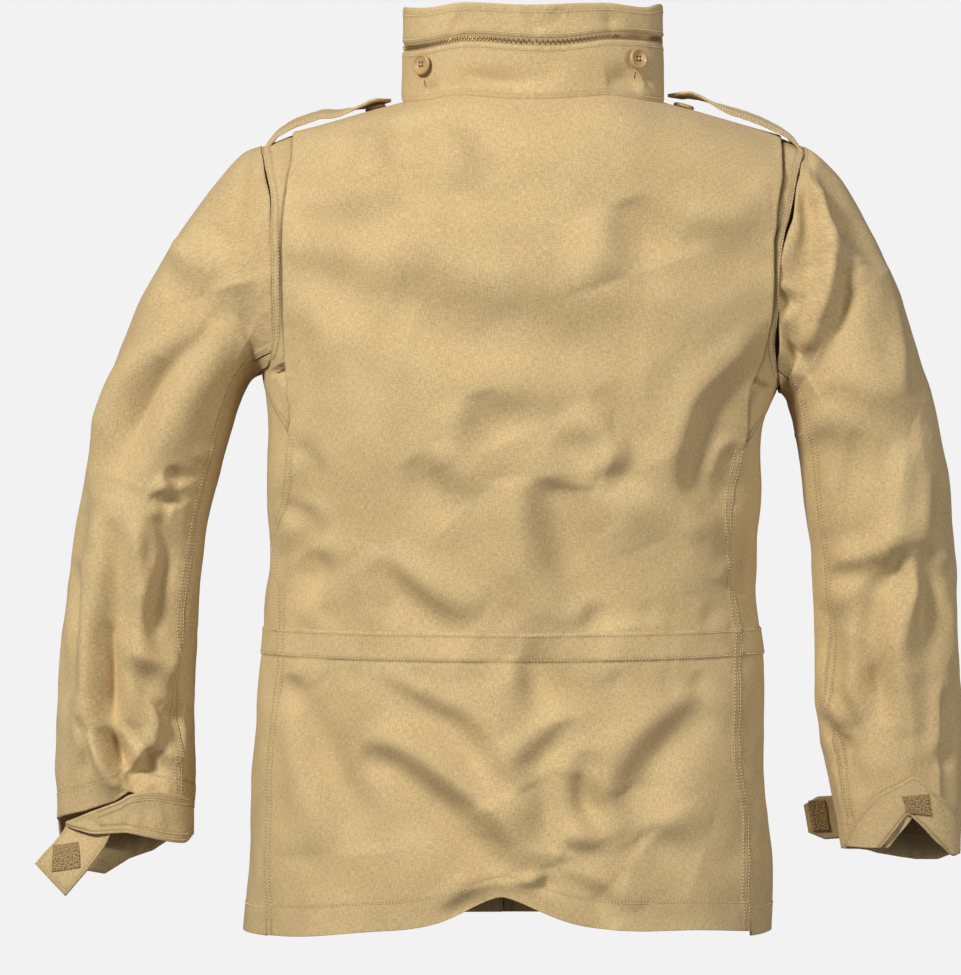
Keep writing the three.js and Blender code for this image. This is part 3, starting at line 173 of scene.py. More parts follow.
# Folds as depth, half width, share and path. Share 0 is a trough, and 1 a step whose low side
# faces down and to the right. A negative depth turns a fold into a ridge
LOW_SIDE = (0.6, -0.8)
FOLD_STRENGTH = 2.2
BACK_FOLDS = [
    (4, 20, 0.8, [(-215, -107), (-170, -109), (-118, -111)]),
    (7, 28, 0.8, [(-118, -165), (-61, -189), (-13, -201), (47, -206), (95, -206)]),
    (8, 22, 0.8, [(67, -104), (78, -135), (88, -163)]),
    (4, 18, 0.8, [(131, -122), (175, -130), (209, -130)]),
    (4, 16, 0.8, [(-87, -17), (-58, -45), (-43, -84)]),
    (3, 12, 0.8, [(-132, -11), (-114, -43)]),
    (3, 18, 0.8, [(-70, -302), (-13, -284), (56, -271)]),
    (4, 14, 0.8, [(17, -305), (65, -314)]),
    (5, 15, 0.8, [(-98, -319), (-83, -343), (-60, -368)]),
    (12, 23, 0.8, [(1, -342), (2, -361), (13, -404), (29, -448), (34, -479)]),
    (4, 12, 0.8, [(46, -345), (91, -329)]),
    (8, 15, 0.8, [(210, -204), (181, -243), (150, -275), (141, -301), (133, -340), (147, -363),
                 (167, -382), (174, -414), (173, -446)]),
    (6, 14, 0.8, [(-202, -405), (-174, -429)]),
    (7, 14, 0.8, [(-135, -410), (-105, -441), (-72, -465), (-53, -475)]),
    (4, 12, 0.8, [(62, -451), (36, -483)]),
    (10, 15, 0.6, [(-12, -494), (-6, -512), (-3, -530), (4, -556)]),
    (6, 13, 0.8, [(34, -549), (-4, -585), (-24, -620)]),
    (11, 15, 0.8, [(-157, -579), (-122, -586), (-78, -617), (-51, -640), (-28, -670), (-22, -689)]),
    (8, 16, 0.8, [(-209, -537), (-194, -589), (-176, -634), (-172, -671)]),
    (4, 9, 0.8, [(-221, -515), (-196, -532)]),
    (11, 16, 0.8, [(35, -580), (40, -623), (56, -648), (85, -676)]),
    (6, 12, 0.8, [(22, -661), (48, -665), (85, -676)]),
    (8, 18, 0.8, [(147, -535), (105, -572), (80, -612), (93, -647)]),
    (4, 14, 0.8, [(93, -647), (150, -664)]),
    (4, 10, 0.8, [(-83, -719), (-31, -691)]),
    (4, 10, 0.8, [(22, -684), (61, -704), (81, -727)]),
    (5, 20, 0.8, [(-221, -151), (-179, -156), (-135, -173), (-100, -187)]),
    (-4, 24, 0.8, [(-135, -130), (-91, -113), (-31, -122), (21, -135)]),
    (6, 20, 0.6, [(-57, -270), (-50, -291), (-39, -317)]),
    (5, 14, 0.8, [(-144, -19), (-129, -56), (-123, -76)]),
    (10, 20, 0.6, [(15, -595), (9, -630), (2, -665)]),
    (-6, 11, 0.6, [(48, -596), (60, -632), (78, -666)]),
    (7, 12, 0.7, [(-143, -513), (-89, -543), (-58, -561), (-29, -608), (-23, -620)]),
    (-3, 6, 0.3, [(-31, -696), (-5, -689), (10, -684)]),
    (4, 7, 0.6, [(9, -686), (5, -694), (2, -701)]),
    (1.2, 7, 0.5, [(-207, -509), (-196, -519)]),
    (1.2, 7, 0.5, [(-166, -508), (-160, -527)]),
    (1.2, 7, 0.5, [(-105, -507), (-92, -521)]),
    (1.2, 7, 0.5, [(74, -507), (67, -526)]),
    (1.2, 7, 0.5, [(110, -508), (120, -536)]),
    (1.2, 7, 0.5, [(150, -509), (136, -528)]),
    (1.2, 7, 0.5, [(-180, -472), (-187, -454)]),
    (1.2, 7, 0.5, [(-122, -472), (-137, -448)]),
    (1.2, 7, 0.5, [(-31, -471), (-24, -448)]),
    (1.2, 7, 0.5, [(44, -471), (51, -448)]),
    (1.2, 7, 0.5, [(101, -472), (92, -453)]),
    (1.2, 7, 0.5, [(146, -473), (157, -449)]),
    (4, 9, 0.7, [(-210, -312), (-201, -334), (-207, -361)]),
    (5, 9, 0.7, [(-221, -365), (-207, -387), (-215, -414)]),
    (4, 9, 0.7, [(177, -308), (165, -334), (171, -361)]),
    (4, 8, 0.7, [(183, -414), (172, -440)]),
    (4, 14, 0.7, [(47, -270), (74, -309), (91, -335)]),
    (-4, 16, 0.6, [(56, -343), (92, -361), (109, -396)]),
    (-5, 16, 0.6, [(-153, -396), (-171, -431), (-207, -467)]),
]
FRONT_FOLDS = [
    (7, 24, 0.8, [(-190, -300), (-130, -360), (-100, -440)]),
    (6, 22, 0.8, [(160, -300), (110, -370), (80, -450)]),
    (8, 24, 0.8, [(-190, -520), (-130, -590), (-110, -680)]),
    (7, 22, 0.8, [(150, -520), (100, -600), (90, -690)]),
    (5, 26, 0.8, [(-200, -120), (-110, -170)]),
    (5, 26, 0.8, [(195, -130), (100, -180)]),
    (5, 12, 0.5, [(-235, -420), (-215, -440), (-195, -452)]),
    (5, 12, 0.5, [(-240, -520), (-215, -545), (-190, -560)]),
]

SLEEVE_COLUMNS = ["out_x", "out_z", "in_x", "in_z", "depth", "y"]
SLEEVES = {
    "left": {
        "sign": -1, "seam": 150,
        "rings": [
            (-262.4, -49.8, -248.8, -249.5, 70, 0), (-287, -75.9, -252.6, -251.5, 73, 1),
            (-314.3, -112, -256.3, -255.1, 74, 3), (-337.9, -148.2, -259.6, -260.5, 74, 4),
            (-357.1, -184.3, -263.7, -268.6, 73, 5), (-371.7, -220.5, -268.3, -280.4, 72, 6),
            (-384.6, -256.8, -273.9, -297.6, 70, 8), (-395.6, -293.1, -280.3, -321.2, 68, 9),
            (-403.9, -333.9, -286.8, -348.4, 66, 10), (-411.3, -374.8, -294.2, -379.3, 64, 11),
            (-419.7, -415.7, -299.7, -415.7, 61, 13), (-424.4, -456.6, -305.3, -456.6, 59, 14),
            (-428, -493, -306.2, -493, 57, 14), (-429.8, -533.9, -307.1, -533.9, 55, 14),
            (-431.7, -574.8, -308.9, -574.8, 53, 14),
        ],
        "end": {"out_x": -429.5, "in_x": -309, "depth": 49, "y": 14, "z": -640},
        "hem": [
            (0, -652.2), (28, -646), (56, -640.3), (85, -630.6), (97, -621.6), (120, -630.2),
            (150, -635.5), (180, -642), (210, -668), (240, -682.9), (270, -691), (300, -705),
            (330, -700), (345, -680), (360, -652.2),
        ],
        "back_folds": [
            (8, 18, 0.8, [(-303.8, -118.5), (-293.1, -145.2), (-284.2, -175.5)]),
            (8, 15, 0.8, [(-287, -209), (-333.2, -246.8), (-364.4, -285.2), (-389, -321), (-399, -356)]),
            (5, 12, 0.8, [(-342.1, -371.6), (-346.6, -427.8), (-359.1, -483.9)]),
            (5, 11, 0.8, [(-364.4, -501.8), (-320, -532)]),
            (8, 11, 0.8, [(-388, -469.7), (-388, -516.9), (-385.8, -561.5), (-370, -602), (-360, -625)]),
            (6, 9, 0.8, [(-335, -577), (-342, -602), (-351, -627)]),
            (3, 7, 0.8, [(-338, -544), (-319, -571)]),
            (3, 8, 0.8, [(-278, -310), (-285, -332)]),
            (3, 8, 0.8, [(-333, -356), (-323, -372)]),
            (4, 8, 0.8, [(-412, -334), (-417, -414)]),
            (8, 20, 0.8, [(-332, -141), (-305, -159), (-274, -175), (-241, -194)]),
            (-6, 18, 0.7, [(-261, -199), (-296, -232), (-328, -272), (-367, -312), (-381, -343)]),
            (6, 16, 0.8, [(-343, -228), (-372, -281), (-392, -334)]),
            (-5, 10, 0.7, [(-399, -370), (-407, -450), (-410, -503), (-405, -538)]),
            (8, 10, 0.7, [(-383, -379), (-378, -414), (-380, -450), (-388, -494),
                          (-385, -538), (-367, -578)]),
            (-5, 9, 0.6, [(-359, -383), (-353, -432), (-357, -485), (-359, -530), (-350, -574)]),
            (6, 8, 0.7, [(-336, -379), (-328, -414), (-341, -459), (-343, -503)]),
            (5, 7, 0.7, [(-328, -334), (-319, -352)]),
            (4, 7, 0.7, [(-341, -356), (-319, -361)]),
            (6, 7, 0.6, [(-388, -569), (-374, -592), (-360, -609)]),
            (5, 6, 0.6, [(-367, -561), (-350, -583), (-341, -596)]),
            (5, 6, 0.6, [(-341, -538), (-332, -565), (-334, -587)]),
            (4, 6, 0.6, [(-407, -556), (-399, -583), (-403, -609)]),
            (11, 6, 0.6, [(-391, -565), (-384, -580), (-373, -600), (-361, -616)]),
            (11, 7, 0.65, [(-366, -610), (-356, -605), (-345, -592), (-334, -586)]),
            (-5, 7, 0.5, [(-351, -569), (-339, -585), (-328, -602)]),
            (6, 8, 0.7, [(-421, -414), (-415, -485), (-417, -538)]),
            (-4, 8, 0.6, [(-375, -467), (-371, -530), (-376, -574)]),
            (5, 7, 0.7, [(-309, -485), (-323, -530), (-321, -574)]),
        ],
    },
    "right": {
        "sign": 1, "seam": 152,
        "rings": [
            (257, -50.7, 226.2, -264.5, 70, 0), (279.8, -75.9, 229.1, -267.4, 73, 1),
            (300.8, -112, 231.9, -271.6, 74, 3), (319, -148.2, 233.8, -279.6, 74, 4),
            (335.5, -184.3, 236.7, -290.4, 73, 5), (347.5, -220.5, 239.5, -304.9, 72, 6),
            (358.5, -256.8, 242.4, -320.3, 70, 8), (368.7, -293.1, 244.3, -338.4, 68, 9),
            (375.2, -329.4, 246.2, -361.1, 66, 10), (379, -365.7, 249.1, -383.8, 64, 11),
            (381, -402, 252.9, -406.6, 61, 13), (383.9, -443, 255.7, -443, 59, 14),
            (386.6, -479.3, 257.5, -479.3, 57, 14), (387.6, -524.8, 258.4, -524.8, 55, 14),
            (388.5, -570.3, 260.3, -568.4, 53, 14), (387.6, -604, 267, -604, 51, 14),
        ],
        "end": {"out_x": 387.7, "in_x": 281.3, "depth": 48, "y": 14, "z": -677},
        "hem": [
            (0, -679.5), (32, -682.3), (49, -672.5), (66, -658.8), (84, -644.5), (96, -658.3),
            (108, -672.9), (130, -674.8), (152, -676.1), (180, -677.7), (210, -682), (240, -686.6),
            (270, -689.1), (300, -690.8), (330, -689.8), (360, -679.5),
        ],
        "back_folds": [
            (6, 15, 0.8, [(244, -99), (269, -135)]),
            (6, 15, 0.8, [(273, -111.3), (305, -162.1)]),
            (9, 9, 0.85, [(243, -74), (257, -95), (265, -123), (268, -150), (267, -180), (259, -210),
                          (247, -236), (238, -243)]),
            (5, 7, 0.7, [(220, -205), (227, -226), (236, -238), (246, -243)]),
            (-3, 9, 0.5, [(248, -108), (256, -139), (256, -175), (247, -201)]),
            (7, 6, 0.5, [(213, -174), (222, -181), (233, -190)]),
            (5, 20, 0.8, [(244, -304), (289, -307.4), (330.9, -318.1)]),
            (6, 12, 0.8, [(328.2, -418), (295.2, -446.5), (277, -473.2)]),
            (7, 10, 0.8, [(349.6, -403.7), (344.3, -451.9), (330, -510.7)]),
            (5, 11, 0.8, [(294.3, -508), (299.7, -564.2)]),
            (4, 9, 0.8, [(255, -425), (260, -482), (282, -553)]),
            (4, 9, 0.8, [(358, -338), (358, -411)]),
            (4, 9, 0.8, [(273, -573), (276, -628)]),
            (-7, 9, 0.7, [(235, -68), (254, -99), (267, -139), (272, -157)]),
            (7, 13, 0.7, [(249, -64), (272, -104), (280, -150)]),
            (5, 8, 0.7, [(242, -77), (237, -127), (231, -160)]),
            (4, 15, 0.8, [(258, -259), (298, -274), (350, -296)]),
            (7, 12, 0.8, [(264, -427), (303, -419), (360, -403)]),
            (5, 9, 0.7, [(298, -450), (294, -503), (307, -556)]),
            (-4, 9, 0.6, [(325, -459), (320, -521), (329, -574)]),
            (6, 11, 0.7, [(365, -414), (351, -467), (356, -530)]),
            (4, 7, 0.7, [(267, -530), (280, -556), (276, -592)]),
            (5, 8, 0.7, [(329, -183), (338, -228), (335, -272)]),
            (4, 9, 0.7, [(280, -299), (276, -361), (280, -414)]),
            (-4, 10, 0.6, [(325, -308), (316, -379), (298, -414)]),
            (5, 7, 0.7, [(256, -556), (267, -578), (270, -609)]),
            (4, 7, 0.7, [(365, -530), (369, -574), (360, -601)]),
        ],
    },
}
SLEEVE_FRONT_FOLDS = {
    "left": [(11, 32, 0, [(-440, -700), (-375, -684), (-300, -660)]),
             (7, 16, 0.8, [(-300, -200), (-330, -250), (-350, -300)]),
             (6, 14, 0.8, [(-330, -380), (-370, -440), (-380, -520)])],
    "right": [(11, 32, 0, [(270, -690), (335, -676), (400, -690)]),
              (7, 16, 0.8, [(270, -200), (300, -260), (320, -310)]),
              (6, 14, 0.8, [(290, -390), (330, -450), (340, -530)])],
}

STRAP_PATHS = {
    "left": [(-128.5, 1.3), (-143, 0), (-156, -3), (-176.5, -5), (-190, -5), (-204, -9),
             (-218, -14.5), (-230, -21), (-239, -31), (-245, -39.4)],
    "right": [(122, 5.7), (135, 6.3), (147.5, 6), (173, -0.6), (195, -7), (212, -14),
              (226, -20.5), (236, -28), (242, -36), (245, -39.4)],
}
TAB_LEFT = curves("row top_x top_z low_x low_z out", [
    (0, -422, -651.2, -421.8, -655.5, -0.3), (1, -410.2, -646.4, -408.4, -658.1, -0.3),
    (2, -397.6, -640.8, -394, -660.5, -0.3), (3, -382.4, -635, -379.7, -659.6, -0.1),
    (4, -369.8, -629.8, -366.2, -658.8, 1.2), (5, -360.5, -624.5, -356.6, -660.4, 2.6),
    (6, -343.8, -621.9, -342.9, -664, 3), (7, -331.3, -623.7, -330.4, -667.6, 3),
    (8, -318.7, -627.3, -316.9, -670.3, 3), (9, -310.5, -631.8, -310, -664, 3),
])
TAB_RIGHT = {"from": 330, "leaves": 235, "straight_from": 0.6, "past": 57, "top": -633,
             "low": -672, "chamfer": 14, "out": 1.7}
GUARD_LEFT = {
    "cuff_out": (-421.2, -3.6, -654.2), "cuff_in": (-379.4, -30.5, -659.5),
    "free_in": (-421, -20, -717), "free_out": (-449.6, -8, -689.6), "bow": 4, "starts_upright": 1.4,
    "wide": 48, "tall": 62,
}
PATCH_LEFT = [(0.05, 0.54), (0.5, 0.3), (0.88, 0.62), (0.45, 0.9)]
GUARD_RIGHT = curves("row fold_x fold_z free_x free_z", [
    (0, 311.3, -672.8, 284, -673.5), (1, 315.8, -667.3, 286, -663.8), (2, 320.3, -661, 292.5, -647.7),
    (3, 324.8, -654.8, 300.6, -635.1), (4, 329.2, -648.5, 311.3, -623.5),
    (5, 333.7, -643, 325.7, -615.4), (6, 335.5, -643, 339.1, -608.3), (7, 341.8, -648.4, 352.5, -619),
    (8, 349.8, -656.4, 367.8, -631.6), (9, 358.8, -666.4, 377.6, -640.5),
    (10, 366.9, -673.6, 380.8, -658.4), (11, 373.1, -680, 381.2, -680),
])
GUARD_RIGHT_OUT = {"at_fold": 2.6, "middle": 4.6, "at_edge": 5}
PATCH_RIGHT = [(328.7, -625.5), (351.1, -624), (353.8, -643.5), (334.5, -640.5)]
COLLAR_BUTTONS = [("left", -98.3, 0.385), ("right", 91.3, 0.43)]
BUTTON = {"radius": 9.5, "thick": 3.2, "rim": 1.6, "dish": 0.9, "hole_out": 2.1}


# Relief
def rounded(path, steps=6):
    """A smooth line through the points of a path"""
    points = np.array(path, float)
    ends = np.vstack([2 * points[0] - points[1], points, 2 * points[-1] - points[-2]])
    line = []
    for i in range(1, len(ends) - 2):
        before, here, there, after = ends[i - 1:i + 3]
        for t in np.arange(steps) / steps:
            line.append(0.5 * (2 * here + (there - before) * t
                               + (2 * before - 5 * here + 4 * there - after) * t ** 2
                               + (3 * here - before - 3 * there + after) * t ** 3))
    return np.array(line + [points[-1]])


def fold_relief(folds, u, v):
    """How far the folds move the cloth out at flat coordinates u and v"""
    total = np.zeros(u.shape)
    for depth, width, share, path in folds:
        line = rounded(path)
        heading = line[-1] - line[0]
        low_side = np.sign(heading[0] * LOW_SIDE[1] - heading[1] * LOW_SIDE[0])
        reach = 4 * width
        near = (u > line[:, 0].min() - reach) & (u < line[:, 0].max() + reach)
        near &= (v > line[:, 1].min() - reach) & (v < line[:, 1].max() + reach)
        a, b = u[near], v[near]
        nearest = np.full(a.shape, 1e9)
        along = np.zeros(a.shape)
        side = np.zeros(a.shape)
        for k in range(len(line) - 1):
            run = line[k + 1] - line[k]
            t = ((a - line[k][0]) * run[0] + (b - line[k][1]) * run[1]) / (run @ run)
            t = np.clip(t, 0, 1)
            du = a - line[k][0] - t * run[0]
            dv = b - line[k][1] - t * run[1]
            distance = np.hypot(du, dv)
            closer = distance < nearest
            nearest = np.where(closer, distance, nearest)
            along = np.where(closer, (k + t) / (len(line) - 1), along)
            side = np.where(closer, np.sign(run[0] * dv - run[1] * du), side)
        fade = np.sin(np.pi * np.clip(along, 0, 1)) ** 0.7
        across = nearest / (width * (0.7 + 0.7 * along))
        trough = np.exp(-across ** 1.7)
        step = 0.62 * side * low_side * across * np.exp(0.5 - 0.5 * across ** 2)
        total[near] -= FOLD_STRENGTH * depth * fade * ((1 - share) * trough + share * step)
    return total


def ripple(u, v, size, seed):
    """Smooth seeded unevenness from -1 to 1, in lumps of the given size"""
    lattice = np.random.default_rng(seed).uniform(-1, 1, (64, 64))
    a = u / size
    b = v / size
    i = np.floor(a).astype(int)
    j = np.floor(b).astype(int)
    s = smooth(0, 1, a - i)
    t = smooth(0, 1, b - j)
    near = mix(lattice[i % 64, j % 64], lattice[(i + 1) % 64, j % 64], s)
    far = mix(lattice[i % 64, (j + 1) % 64], lattice[(i + 1) % 64, (j + 1) % 64], s)
    return mix(near, far, t)


def slackness(u, v, seed):
    """The uneven lie of worn cotton, from broad swells to small creases"""
    return (2.4 * ripple(u, v, 75, seed) + 1.5 * ripple(u, v, 38, seed + 1)
            + 0.45 * ripple(u, v, 17, seed + 2))


def crumple(across, along, seed):
    """Long soft creases that run down a sleeve, with narrow valleys between them"""
    wander = along + 10 * ripple(across, along, 45, seed + 3)
    valleys = 1 - 2 * abs(ripple(across * 2.6, wander, 52, seed))
    return valleys + 0.5 * ripple(across * 2.2, wander, 26, seed + 1)


def pucker(along, away, seed, size=7, depth=0.5, reach=12):
    """Small puckers that a row of stitches draws up along a seam"""
    return depth * np.exp(-(away / reach) ** 2) * ripple(along, away * 0.25, size, seed)


# Torso
def torso_section(level):
    left = TORSO["left"](level)
    right = TORSO["right"](level)
    return (left + right) / 2, (right - left) / 2


def torso_angle(x, level, face):
    middle, half = torso_section(level)
    angle = np.arcsin(np.clip((x - middle) / half, -1, 1))
    if face == "back":
        return angle
    return np.where(angle < 0, -np.pi, np.pi) - angle


def shoulder_bend(x):
    return RIDGE(abs(x)) - SHOULDER_ROUND


def torso_base(angle, level):
    middle, half = torso_section(level)
    across = np.sin(angle)
    roundness = np.maximum(0, 1 - abs(across) ** SQUARENESS) ** (1 / SQUARENESS)
    x = middle + half * across
    bend = shoulder_bend(x)
    turn = np.maximum(0, (level - bend) / SHOULDER_ROUND)
    z = np.where(level < bend, level, bend + SHOULDER_ROUND * np.sin(turn))
    back = np.cos(angle) >= 0
    depth = np.where(back, -TORSO["back"](level), TORSO["front"](level))
    return np.stack(np.broadcast_arrays(x, depth * roundness * np.cos(turn), z), -1)


def normal_of(base, a, b, step_a, step_b):
    along_a = base(a + step_a, b) - base(a - step_a, b)
    along_b = base(a, b + step_b) - base(a, b - step_b)
    normal = np.cross(along_a, along_b)
    return normal / np.linalg.norm(normal, axis=-1, keepdims=True)


def torso_relief(angle, level):
    across = np.sin(angle)
    middle, half = torso_section(level)
    x = middle + half * across
    back = np.cos(angle) >= 0
    folds = np.where(back, fold_relief(BACK_FOLDS, x, level), fold_relief(FRONT_FOLDS, x, level))
    around = angle * TORSO_GIRTH
    face = np.where(back, top_level(x, "back"), top_level(x, "front"))
    held = smooth(0, 22, face - level)
    return ((1 - abs(across) ** 24) * folds + slackness(around, level, 11)) * held


def torso_skin(angle, level, out=0.0, relief=None):
    relief = torso_relief(angle, level) if relief is None else relief
    normal = normal_of(torso_base, angle, level, 0.02, 3)
    return torso_base(angle, level) + normal * np.asarray(out + relief)[..., None]


def shift_angle(angle, level, distance):
    step = 0.01
    span = np.linalg.norm(torso_base(angle + step, level) - torso_base(angle - step, level), axis=-1)
    return angle + distance * 2 * step / span


def side_angle(side, level, face):
    """Angle of a panel's side edge: the side seam low down, then the armhole or the pleat's fold"""
    line = SIDES[side]
    level = np.asarray(level, float)
    seam = torso_angle(line["seam"](level), level, "back")
    pleat = torso_angle(line["pleat"](level), level, "back")
    start = torso_angle(line["seam"](line["seam_top"]), line["seam_top"], "back")
    t = np.clip((level - line["seam_top"]) / (line["armhole_bottom"] - line["seam_top"]), 0, 1)
    slant = mix(start, line["sign"] * np.pi / 2, t ** 1.3)
    armhole = torso_angle(line["armhole"](level), level, "front" if face == "front" else "back")
    pit = smooth(line["armhole_bottom"], line["armhole_bottom"] + ARMPIT, level)
    above = np.where(level < line["armhole_bottom"], slant, mix(line["sign"] * np.pi / 2, armhole, pit))
    if face == "pleat":
        above = pleat
    return np.where(level <= line["seam_top"], seam, above)


def top_level(x, face):
    turn = np.pi / 2 + (-SEAM_SET_BACK if face == "back" else SEAM_SET_BACK)
    in_neck = 1 - np.minimum(1, (x / NECK_HALF) ** 2)
    drop = BACK_NECK_DROP * np.sqrt(in_neck) if face == "back" else FRONT_NECK_DROP * in_neck ** 0.45
    return shoulder_bend(x) + SHOULDER_ROUND * (turn - drop)


def hem_level(x, face):
    if face == "front":
        return np.full(np.shape(x), float(FRONT_HEM))
    arch = ARCH["lift"] * np.exp(-abs((x - ARCH["x"]) / ARCH["width"]) ** 1.6)
    return BACK_HEM + arch - ARCH["side_drop"] * smooth(130, 238, abs(x))


def casing_sag(x):
    share = (x - CASING["sag_middle"]) / CASING["sag_half"]
    return -CASING["sag"] * np.clip(1 - share ** 2, 0, 1)


def casing_raise(level):
    high = smooth(CASING["bottom"] - 1.2, CASING["bottom"] + 0.4, level)
    return CASING["raise"] * high * smooth(CASING["top"] + 1.2, CASING["top"] - 0.4, level)


def row_plan(step):
    """Cloth levels of the lower rows, closer together at the hem and at the casing"""
    levels = np.arange(BACK_HEM + HEM["band"], YOKE_LEVEL - step / 2, step)
    levels = levels[(levels < CASING["bottom"] - 5) | (levels > CASING["top"] + 5)]
    casing = [CASING["bottom"] + d for d in (-4, -2.2, -1.2, -0.3, 0.5, 1.6, 4.5, 8)]
    casing += [CASING["top"] - d for d in (4.5, 1.6, 0.5, -0.3, -1.2, -2.2, -4)]
    hem = [BACK_HEM + d for d in (0, 0.7, 2, 4, 7.5, 11, 14.5, 18, 21, 23.4, 24.6, 25.8, 28, 31)]
    return np.array(sorted([*hem, *levels, *casing]))


def torso_panel_grid(side_from, side_to, face, trim, step, first_band, inner, last_band, low):
    """Angles and levels of a panel's rows and columns, with closer columns along its edges"""
    count = int(262 / step)
    high = np.concatenate([np.arange(1, count) / count * 0.965, [0.972, 0.98, 0.987, 0.993, 0.997, 1]])
    from_start = np.array([*first_band[:-1], *[0.0] * (len(inner) + len(last_band) - 1)])
    from_end = np.array([*[0.0] * (len(first_band) - 1 + len(inner)), *reversed(last_band[:-1])])
    width = len(from_start)
    place = np.arange(width)
    at_start = place < len(first_band) - 1
    at_end = place >= len(first_band) - 1 + len(inner)
    share = np.zeros(width)
    share[~at_start & ~at_end] = inner

    def angles(level):
        start = side_from(level)
        end = side_to(level)
        way = np.sign(end - start)
        first = shift_angle(start, level, way * first_band[-1])
        last = shift_angle(end, level, -way * last_band[-1])
        near = shift_angle(start, level, way * from_start)
        far = shift_angle(end, level, -way * from_end)
        return np.where(at_start, near, np.where(at_end, far, mix(first, last, share)))

    level = np.repeat(low[:, None], width, 1)
    hem_angle = angles(np.full((1, width), float(BACK_HEM)))
    hem = hem_level(torso_base(hem_angle, BACK_HEM)[..., 0], face)
    if face == "back":
        part = (low[:, None] - ARCH["fades_at"]) / (BACK_HEM - ARCH["fades_at"])
        level = np.where(level < ARCH["fades_at"], mix(ARCH["fades_at"], hem, part), level)
    elif low[0] < BACK_HEM + 1:
        band_top = BACK_HEM + HEM["band"]
        in_band = mix(FRONT_HEM, band_top, (level - BACK_HEM) / HEM["band"])
        level = np.where(level < band_top, in_band, level)
    x = torso_base(angles(level), level)[..., 0]
    level = level + casing_sag(x) * near_casing(level) * (1 if face == "back" else 0)
    top = np.zeros((len(high), width))
    for _ in range(8):
        x = torso_base(angles(top), top)[..., 0]
        top = mix(YOKE_LEVEL, top_level(x, face) - trim, high[:, None])
    level = np.vstack([level, top])
    return angles(level), level


def near_casing(level):
    return np.exp(-((level - CASING["sag_level"]) / CASING["sag_reach"]) ** 4)


def cloth_level(x, level, face):
    """Level on the cloth before the arch of the hem and the sag of the casing"""
    if face == "front":
        return level
    hem = hem_level(x, "back")
    scale = (BACK_HEM - ARCH["fades_at"]) / (hem - ARCH["fades_at"])
    low = ARCH["fades_at"] + (level - ARCH["fades_at"]) * scale
    return np.where(level < ARCH["fades_at"], low, level - casing_sag(x) * near_casing(level))


def distances(points):
    """Distances along rows and along columns of a grid of points, from their starts"""
    across = np.linalg.norm(np.diff(points, axis=1), axis=-1)
    up = np.linalg.norm(np.diff(points, axis=0), axis=-1)
    u = np.concatenate([np.zeros((points.shape[0], 1)), np.cumsum(across, 1)], 1)
    v = np.concatenate([np.zeros((1, points.shape[1])), np.cumsum(up, 0)], 0)
    return u, v


# Meshes
def grid_faces(rows, columns, ring):
    i, j = np.meshgrid(np.arange(rows - 1), np.arange(columns if ring else columns - 1), indexing="ij")
    k = (j + 1) % columns
    return np.stack([i * columns + j, i * columns + k, (i + 1) * columns + k, (i + 1) * columns + j], -1)


def shell(name, outer, inner, weave, rows_away=None, ring=False):
    """A closed cloth wall between two grids; weave holds flat coordinates for the threads"""
    rows, columns = outer.shape[:2]
    count = rows * columns
    front = grid_faces(rows, columns, ring).reshape(-1, 4)
    back = front[:, ::-1] + count
    j = np.arange(columns if ring else columns - 1)
    k = (j + 1) % columns
    last = (rows - 1) * columns
    rims = [np.stack([k, j, j + count, k + count], -1),
            np.stack([last + j, last + k, last + k + count, last + j + count], -1)]
    if not ring:
        i = np.arange(rows - 1)
        a = i * columns
        b = (i + 1) * columns
        e = columns - 1
        rims.append(np.stack([a, b, b + count, a + count], -1))
        rims.append(np.stack([b + e, a + e, a + e + count, b + e + count], -1))
    faces = np.vstack([front, back, *rims])
    points = np.vstack([outer.reshape(-1, 3), inner.reshape(-1, 3)])
    corner = points[faces]
    volume = np.einsum("ij,ij->", corner[:, 0], np.cross(corner[:, 1], corner[:, 2]))
    volume += np.einsum("ij,ij->", corner[:, 0], np.cross(corner[:, 2], corner[:, 3]))
    if volume < 0:
        faces = faces[:, ::-1]
    piece = mesh_piece(name, points, faces)
    flat = np.concatenate([weave.reshape(-1, 2), weave.reshape(-1, 2)])
    set_vector(piece, "weave", np.column_stack([flat, np.zeros(len(flat))]))
    if rows_away is None:
        rows_away = np.full(outer.shape[:2], NO_ROW)
    set_row_away(piece, np.concatenate([rows_away.reshape(-1), np.full(count, NO_ROW)]))
    return piece


def mesh_piece(name, points, faces, smooth_faces=True):
    mesh = bpy.data.meshes.new(name)
    faces = faces.tolist() if isinstance(faces, np.ndarray) else faces
    mesh.from_pydata((np.asarray(points) * METRES).tolist(), [], faces)
    if smooth_faces:
        mesh.polygons.foreach_set("use_smooth", [True] * len(mesh.polygons))
    mesh.update()
    piece = bpy.data.objects.new(name, mesh)
    bpy.context.scene.collection.objects.link(piece)
    return piece


def set_vector(piece, name, values):
    attribute = piece.data.attributes.new(name, "FLOAT_VECTOR", "POINT")
    attribute.data.foreach_set("vector", np.asarray(values, np.float32).reshape(-1))


def set_row_away(piece, distances_to_row):
    attribute = piece.data.attributes.new("row_away", "FLOAT", "POINT")
    attribute.data.foreach_set("value", np.asarray(distances_to_row, np.float32))


def dress(piece, material, slot, body="garment", *nodes):
    piece.data.materials.append(material)
    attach(piece, body)
    if nodes:
        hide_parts(*nodes)
    return piece


